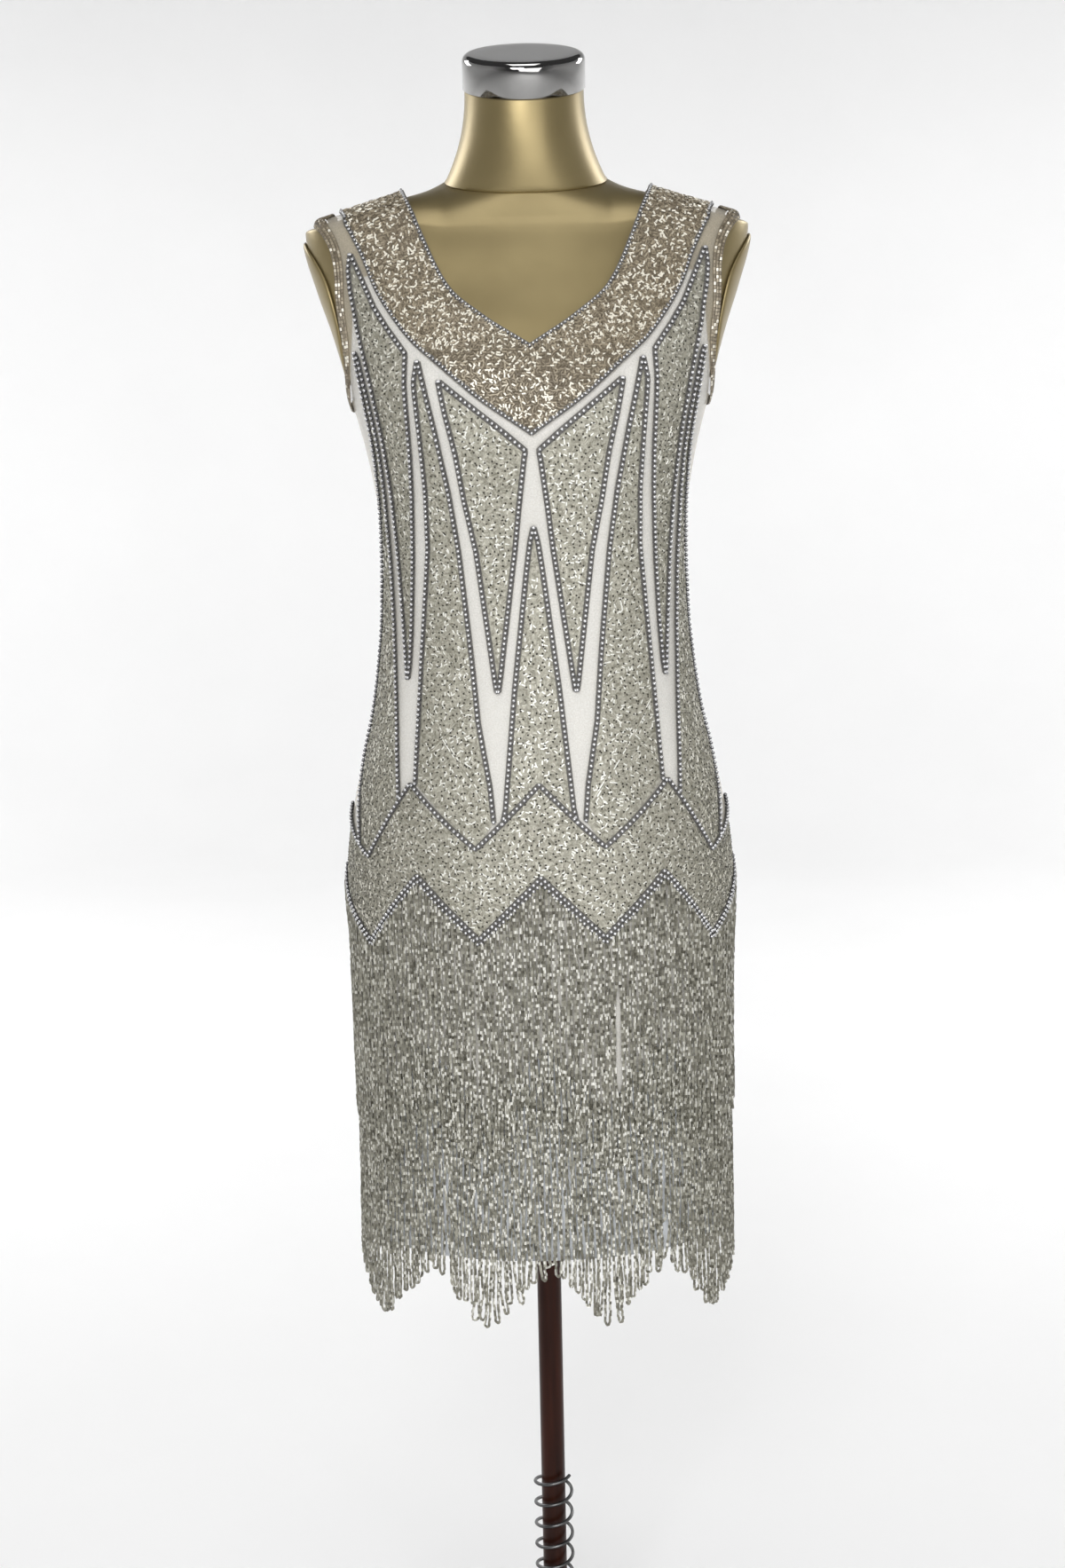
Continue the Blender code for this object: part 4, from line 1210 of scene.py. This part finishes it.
def scattered(side, spacing, margin):
    """Places of scattered beads on the panels and the hip band, of both hands."""
    arcs, heights, hands = [], [], []

    def stray(count):
        return random.uniform(-BEAD_STRAY, BEAD_STRAY, count) * spacing

    for rows in PANELS.values():
        levels, inner, outer = panel_edges(rows, side)
        lines = np.arange(levels[0] + margin, levels[-1] - margin, spacing * ROW_SHARE)
        for hand in (-1, 1):
            for row, level in enumerate(lines):
                low = np.interp(level, levels, inner) + (margin if inner.any() else 0.0)
                high = np.interp(level, levels, outer) - margin
                count = int((high - low) / spacing)
                if count < 1:
                    continue
                at = (np.arange(count) + 0.5 + 0.5 * (row % 2)) / (count + 0.5) * (high - low) + low
                arcs.append(at + stray(count))
                heights.append(level + stray(count))
                hands.append(np.full(count, hand))
    arcs, heights, hands = (np.concatenate(parts) for parts in (arcs, heights, hands))
    above = heights > hip_height(arcs / quarter_arc(heights, FRONT)) + margin
    heights = heights[above]
    arcs, heights, hands = [fit_arc(arcs[above], heights, side)], [heights], [hands[above]]
    for hand in (-1, 1):
        for row, level in enumerate(np.arange(HIP_LOW, HIP_HIGH, spacing * ROW_SHARE)):
            count = int(quarter_arc(level, side) / spacing)
            at = (np.arange(count) + 0.5 * (row % 2)) * spacing + stray(count)
            height = level + stray(count)
            share = np.abs(at) / quarter_arc(height, side)
            inside = height < hip_height(share) - margin
            inside &= height > fringe_height(share, UPPER_TIER) + margin * 2
            arcs.append(at[inside])
            heights.append(height[inside])
            hands.append(np.full(inside.sum(), hand))
    arcs, heights, hands = (np.concatenate(parts) for parts in (arcs, heights, hands))
    places = on_skin(arcs, heights, side)
    places[:, 0] *= hands
    return places


def build_vermicelli(label, side):
    """Scattered bugles, the fine double lines on the waist spikes, and small dark beads."""
    shape = half_bugle(BUGLE_LENGTH, BUGLE_RADIUS)
    places = scattered(side, PANEL_SPACING, PANEL_MARGIN)
    batches = [stamp(shape, lifted(places, BUGLE_LIFT), any_way(places))]
    for line in FINE_LINES:
        fall, reach = line.bottom - line.top, line.bottom_arc - line.top_arc
        count = round(math.hypot(reach, fall) / FINE_PITCH)
        share = (np.arange(count) + 0.5) / count
        height = line.top + fall * share
        slope = math.atan2(fall, reach)
        for offset in (-FINE_LINE_HALF_GAP, FINE_LINE_HALF_GAP):
            arc = fit_arc(line.top_arc + reach * share + offset, height, side)
            for hand in (-1, 1):
                at = on_skin(arc, height, side, hand)
                turn = slope if hand * -side > 0 else math.pi - slope
                batches.append(stamp(shape, lifted(at, FINE_LINE_LIFT), surface_axes(at, turn)))
    points, faces = gathered(batches)
    # Random bead tones, a share painted bright as glints, with painted shade toward the side seams
    tones = with_painted_side_shade(bead_tones(len(points) // 8, 8, 0.24), points, 0.45)
    on_form(mesh_piece("panel_bugles_" + label, points, faces, VERMICELLI, False, tones), "bead_trim")

    places = scattered(side, DOT_SPACING, DOT_MARGIN)
    points, faces = stamp(dot(DOT_RADIUS), lifted(places, DOT_LIFT), any_way(places))
    on_form(mesh_piece("dark_beads_" + label, points, faces, DARK, False), "bead_trim")


def pitched(line, pitch):
    """Points at an even pitch along a line, both ends included."""
    return even_points(line, max(1, round(steps_along(line).sum() / pitch)))


def arc_line(arcs, heights, side, steps=14):
    """Line on the skin through a few places, straight between them on the flat cloth."""
    at = np.linspace(0, len(arcs) - 1, (len(arcs) - 1) * steps + 1)
    arcs = np.interp(at, np.arange(len(arcs)), arcs)
    heights = np.interp(at, np.arange(len(heights)), heights)
    return on_skin(arcs, heights, side)


def outline_lines(side):
    """Lines of silver balls round the panels and along the zigzags, for one hand."""
    lines = []
    for name, rows in PANELS.items():
        heights, inner, outer = panel_edges(rows, side)
        for arcs, start in zip((outer, inner), OUTLINE_STARTS.get(name, (0, 0))):
            if arcs.any():
                lines.append(arc_line(fit_arc(arcs, heights, side)[start:], heights[start:], side))
    shares = np.linspace(0.0, 1.0, 201)
    zigzags = [hip_height(shares)] + [fringe_height(shares, UPPER_TIER) + rise for rise in HIP_BALL_RISES]
    return lines + [on_skin(shares * quarter_arc(levels, side), levels, side) for levels in zigzags]


def build_ball_shadows(label, side, band_lines):
    """Painted shadow: a dark strip under the lines of silver balls, standing in for the shade round them."""
    batches = []
    lines = [(line, BALL_SHADOW_WIDTH, BALL_SHADOW_LIFT) for line in outline_lines(side)]
    lines += [(line, BAND_BALL_SHADOW_WIDTH, BAND_BALL_SHADOW_LIFT) for line in band_lines]
    for line, width, lift in lines:
        path = pitched(line, BALL_SHADOW_STEP)
        away = outward(path)
        across = unit(np.cross(away, np.gradient(path, axis=0))) * width / 2
        rows = lifted(to_skin(np.stack([path - across, path + across], 1)), lift)
        normal = np.cross(rows[0, 1] - rows[0, 0], rows[1, 0] - rows[0, 0])
        batches.append(both_hands(rows.reshape(-1, 3), grid_faces(len(rows), 2), normal @ away[0] < 0))
    points, faces = gathered(batches)
    on_form(mesh_piece("painted_ball_shadow_" + label, points, faces, BALL_SHADOW_STRIP), "bead_trim")


def build_balls(label, side, band_lines):
    """Lines of silver balls, each with a painted highlight where it faces up and out and painted shade below.
    """
    batches, tones = [], []
    lines = [(line, BALL_RADIUS, BALL_PITCH, BALL_LIFT) for line in outline_lines(side)]
    lines += [(line, EDGE_BALL_RADIUS, EDGE_BALL_PITCH, BAND_BALL_LIFT) for line in band_lines]
    for line, radius, pitch, lift in lines:
        places = lifted(pitched(line, pitch), lift)
        for hand in (-1, 1):
            at = places * np.array([hand, 1.0, 1.0])
            batch = stamp(ball(radius), at, any_way(at))
            # Painted highlight and shade: tone set by how far each point faces the highlight direction
            from_middle = (batch[0].reshape(len(at), -1, 3) - at[:, None]) / radius
            facing = np.einsum("npk,nk->np", from_middle, unit(outward(at) + PAINTED_HIGHLIGHT_LEAN))
            painted_highlight_and_shade = np.clip(facing * 1.1, 0.0, 1.0) ** 1.3
            tones.append((painted_highlight_and_shade * random.uniform(0.75, 1.0, (len(at), 1))).ravel())
            batches.append(batch)
    points, faces = gathered(batches)
    piece = mesh_piece("silver_balls_" + label, points, faces, SILVER, True, np.concatenate(tones))
    on_form(piece, "bead_trim")


# Fringe


def parted(arc, height, side):
    """Arcs pushed aside where the strands part."""
    for parting in PARTINGS:
        if parting.side != side:
            continue
        below_top = np.clip((parting.top - height) / 0.03, 0.0, 1.0)
        above_bottom = np.clip((height - parting.bottom) / 0.02, 0.0, 1.0)
        gap = arc - parting.arc
        push = parting.width / 2 * (below_top * above_bottom) * np.exp(-np.abs(gap) / 0.008)
        arc = arc + np.where(gap < 0, -push, push)
    return arc


def loop_line(share, width, hand, side, tier):
    """Line of one loop: down one strand, round its turn and up the other."""
    hang = quarter_arc(HANG_LEVEL, side)
    centre = share * hang
    shift = random.normal(0.0, 0.0004)
    length = tier.length + random.normal(-0.002, 0.0025)
    sway = random.normal(0.0, 0.0008)
    splay = random.normal(0.0, 0.0016)
    wave = random.uniform(0, 2 * math.pi)
    wave_size = random.uniform(0.0002, 0.0007)
    wave_count = random.uniform(2.0, 5.0)
    stray = random.random() < 0.05
    down = np.linspace(0.0, 1.0, 60)
    strands = []
    for strand in (-1, 1):
        root_share = np.clip((centre + strand * width / 2) / hang, 0.0, 1.0)
        root = fringe_height(root_share, tier) + 0.001
        root_arc = root_share * quarter_arc(root, side)
        end_gap = LOOP_TURN_RADIUS * (1.0 + 0.3 * random.random())
        end_arc = centre * quarter_arc(root - length, side) / hang + shift
        arc = root_arc + (end_arc + strand * end_gap - root_arc) * down ** 1.5
        arc = arc + sway * down ** 2 * (3 if stray else 1) + splay * down ** 9
        arc = arc + wave_size * np.sin(wave + strand + wave_count * 2 * math.pi * down)
        height = root - (length - LOOP_TURN_RADIUS) * down
        lift = STRAND_LIFT + tier.flare * down + 0.0006 * np.sin(wave * 2 + 9 * down + strand)
        strands.append(np.stack([arc, height, lift])[:, ::-strand])
    (left, left_low, lift), (right, right_low, _) = strands[0][:, -1], strands[1][:, 0]
    turn = np.linspace(0.15, 0.85, 5) * math.pi
    bottom = np.stack([(left + right) / 2 - (right - left) / 2 * np.cos(turn),
                       min(left_low, right_low) - LOOP_TURN_RADIUS * np.sin(turn),
                       np.full(len(turn), lift)])
    arc, height, lift = np.concatenate([strands[0], bottom, strands[1]], axis=1)
    seam = quarter_arc(height, side)
    skin = on_skin(np.clip(parted(arc * hand, height, side), -seam, seam), height, side)
    flat = outward(skin)
    flat[:, 2] = 0.0
    return skin + unit(flat) * lift[:, None]


def build_fringe(label, side, tier):
    """One tier: loops of strung beads, each of two strands joined by a turn at the bottom."""
    places, forwards = [], []
    half = LOOPS_PER_SIDE // 2
    width = quarter_arc(HANG_LEVEL, side) / half / 2
    for hand in (-1, 1):
        for loop in range(half):
            line = loop_line((loop + 0.5) / half, width, hand, side, tier)
            at = pitched(line, STRAND_BEAD_LENGTH)
            places.append((at[1:] + at[:-1]) / 2)
            forwards.append(unit(np.diff(at, axis=0)))
    places = np.concatenate(places)
    forwards = np.concatenate(forwards)
    sideways = unit(np.cross(forwards, np.array([0.3, 0.9, 0.2])))
    third = np.cross(forwards, sideways)
    spin = random.uniform(0, math.pi / 2, len(places))[:, None]
    axes = np.stack([forwards, sideways * np.cos(spin) + third * np.sin(spin),
                     third * np.cos(spin) - sideways * np.sin(spin)], -2)
    points, faces = stamp(strand_bead(STRAND_BEAD_LENGTH, STRAND_BEAD_RADIUS), places, axes)
    # Random bead tones with painted edge highlights, and painted shade toward the side seams
    tones = with_painted_side_shade(painted_edge_highlights(len(places)), points, 0.25)
    piece = mesh_piece(f"fringe_loops_{tier.name}_{label}", points, faces, STRANDS, False, tones)
    return on_form(piece, "bead_fringe", f"fringe_{tier.name}_{label}")


# Studio

FLOOR_RADIUS = 4.0
WALL_HEIGHT = 5.0

# Places along Y where the wall starts and ends to darken, and the share of its colour left there
WALL_DARK = (-2.6, -4.4, 0.22)


def build_studio():
    """Round pale floor that curves up into a wall, dark behind the camera for contrast."""
    profile = [(0.01, 0.0), (1.0, 0.0), (FLOOR_RADIUS, 0.0)]
    profile += [(FLOOR_RADIUS + math.sin(a), 1.0 - math.cos(a)) for a in np.radians(np.arange(10, 91, 10))]
    profile.append((FLOOR_RADIUS + 1.0, WALL_HEIGHT))
    turns = full_turn(96)
    points = np.array([[radius * math.cos(t), radius * math.sin(t), height]
                       for radius, height in profile for t in turns])
    material, tree, shader = new_material("pale floor")
    colour = ramp(tree, noise(tree, 2.0), [(0.3, (0.90, 0.90, 0.90)), (0.7, (0.92, 0.92, 0.92))])
    shaded = fading(tree, colour, along_axis(tree, "Y"), *WALL_DARK)
    tree.links.new(shaded, shader.inputs["Base Color"])
    shader.inputs["Roughness"].default_value = 0.9
    faces = grid_faces(len(profile), len(turns), closed=True)
    mesh_piece("studio_floor", points, [faces], material)

    world = bpy.data.worlds.new("studio")
    world.use_nodes = True
    background = world.node_tree.nodes["Background"]
    background.inputs["Color"].default_value = (1.0, 1.0, 1.0, 1.0)
    background.inputs["Strength"].default_value = 0.07
    bpy.context.scene.world = world
    bpy.context.scene.view_settings.view_transform = "Standard"


Lamp = namedtuple("Lamp", "name place aim size power")
LAMPS = [
    Lamp("key", (-0.5, -2.6, 2.2), (0.0, 0.0, 1.1), 1.0, 35.0),
    Lamp("fill", (0.5, -2.6, 1.2), (0.0, 0.0, 0.9), 1.9, 34.0),
    Lamp("top", (0.0, -0.5, 2.9), (0.0, 0.0, 1.2), 0.7, 6.0),
    Lamp("floor_left", (-2.4, 1.9, 2.6), (-0.5, 2.8, 0.0), 1.6, 62.0),
    Lamp("floor_right", (2.4, 1.9, 2.6), (0.5, 2.8, 0.0), 1.6, 62.0),
]


def build_lamps():
    for lamp in LAMPS:
        light = bpy.data.lights.new(lamp.name, "AREA")
        light.size = lamp.size
        light.energy = lamp.power
        item = bpy.data.objects.new(lamp.name, light)
        item.location = lamp.place
        item.visible_camera = False
        aim = np.array(lamp.aim) - np.array(lamp.place)
        item.rotation_euler = Vector(aim).to_track_quat("-Z", "Y").to_euler()
        bpy.context.scene.collection.objects.link(item)


CAMERA_PLACE = (-0.0055, -1.75, 1.207)
CAMERA_PITCH_DOWN, CAMERA_ROLL = 9.72, -1.25
FOCAL_PIXELS, PHOTO_HEIGHT_PIXELS = 2240.0, 1767.0
SENSOR = 36.0


def build_camera():
    """Camera fitted to the photo, rolled a little as the photo is."""
    camera = bpy.data.cameras.new("camera")
    camera.sensor_width = SENSOR
    camera.lens = FOCAL_PIXELS / PHOTO_HEIGHT_PIXELS * SENSOR
    item = bpy.data.objects.new("camera", camera)
    item.matrix_world = (Matrix.Translation(CAMERA_PLACE)
                         @ Matrix.Rotation(math.radians(90.0 - CAMERA_PITCH_DOWN), 4, "X")
                         @ Matrix.Rotation(math.radians(CAMERA_ROLL), 4, "Z"))
    bpy.context.scene.collection.objects.link(item)
    bpy.context.scene.camera = item


build_form()
build_stand()
for hand_label, hand_sign in HANDS:
    build_binding(hand_label, hand_sign)
for side_label, side_sign in SIDES:
    slip = build_slip(side_label, side_sign)
    net = build_net(side_label, side_sign)
    edges_of_band = build_band(side_label, side_sign)
    build_ground(side_label, side_sign)
    build_vermicelli(side_label, side_sign)
    build_ball_shadows(side_label, side_sign, edges_of_band)
    build_balls(side_label, side_sign, edges_of_band)
    tiers = [build_fringe(side_label, side_sign, tier) for tier in (UPPER_TIER, LOWER_TIER)]
build_studio()
build_lamps()
build_camera()
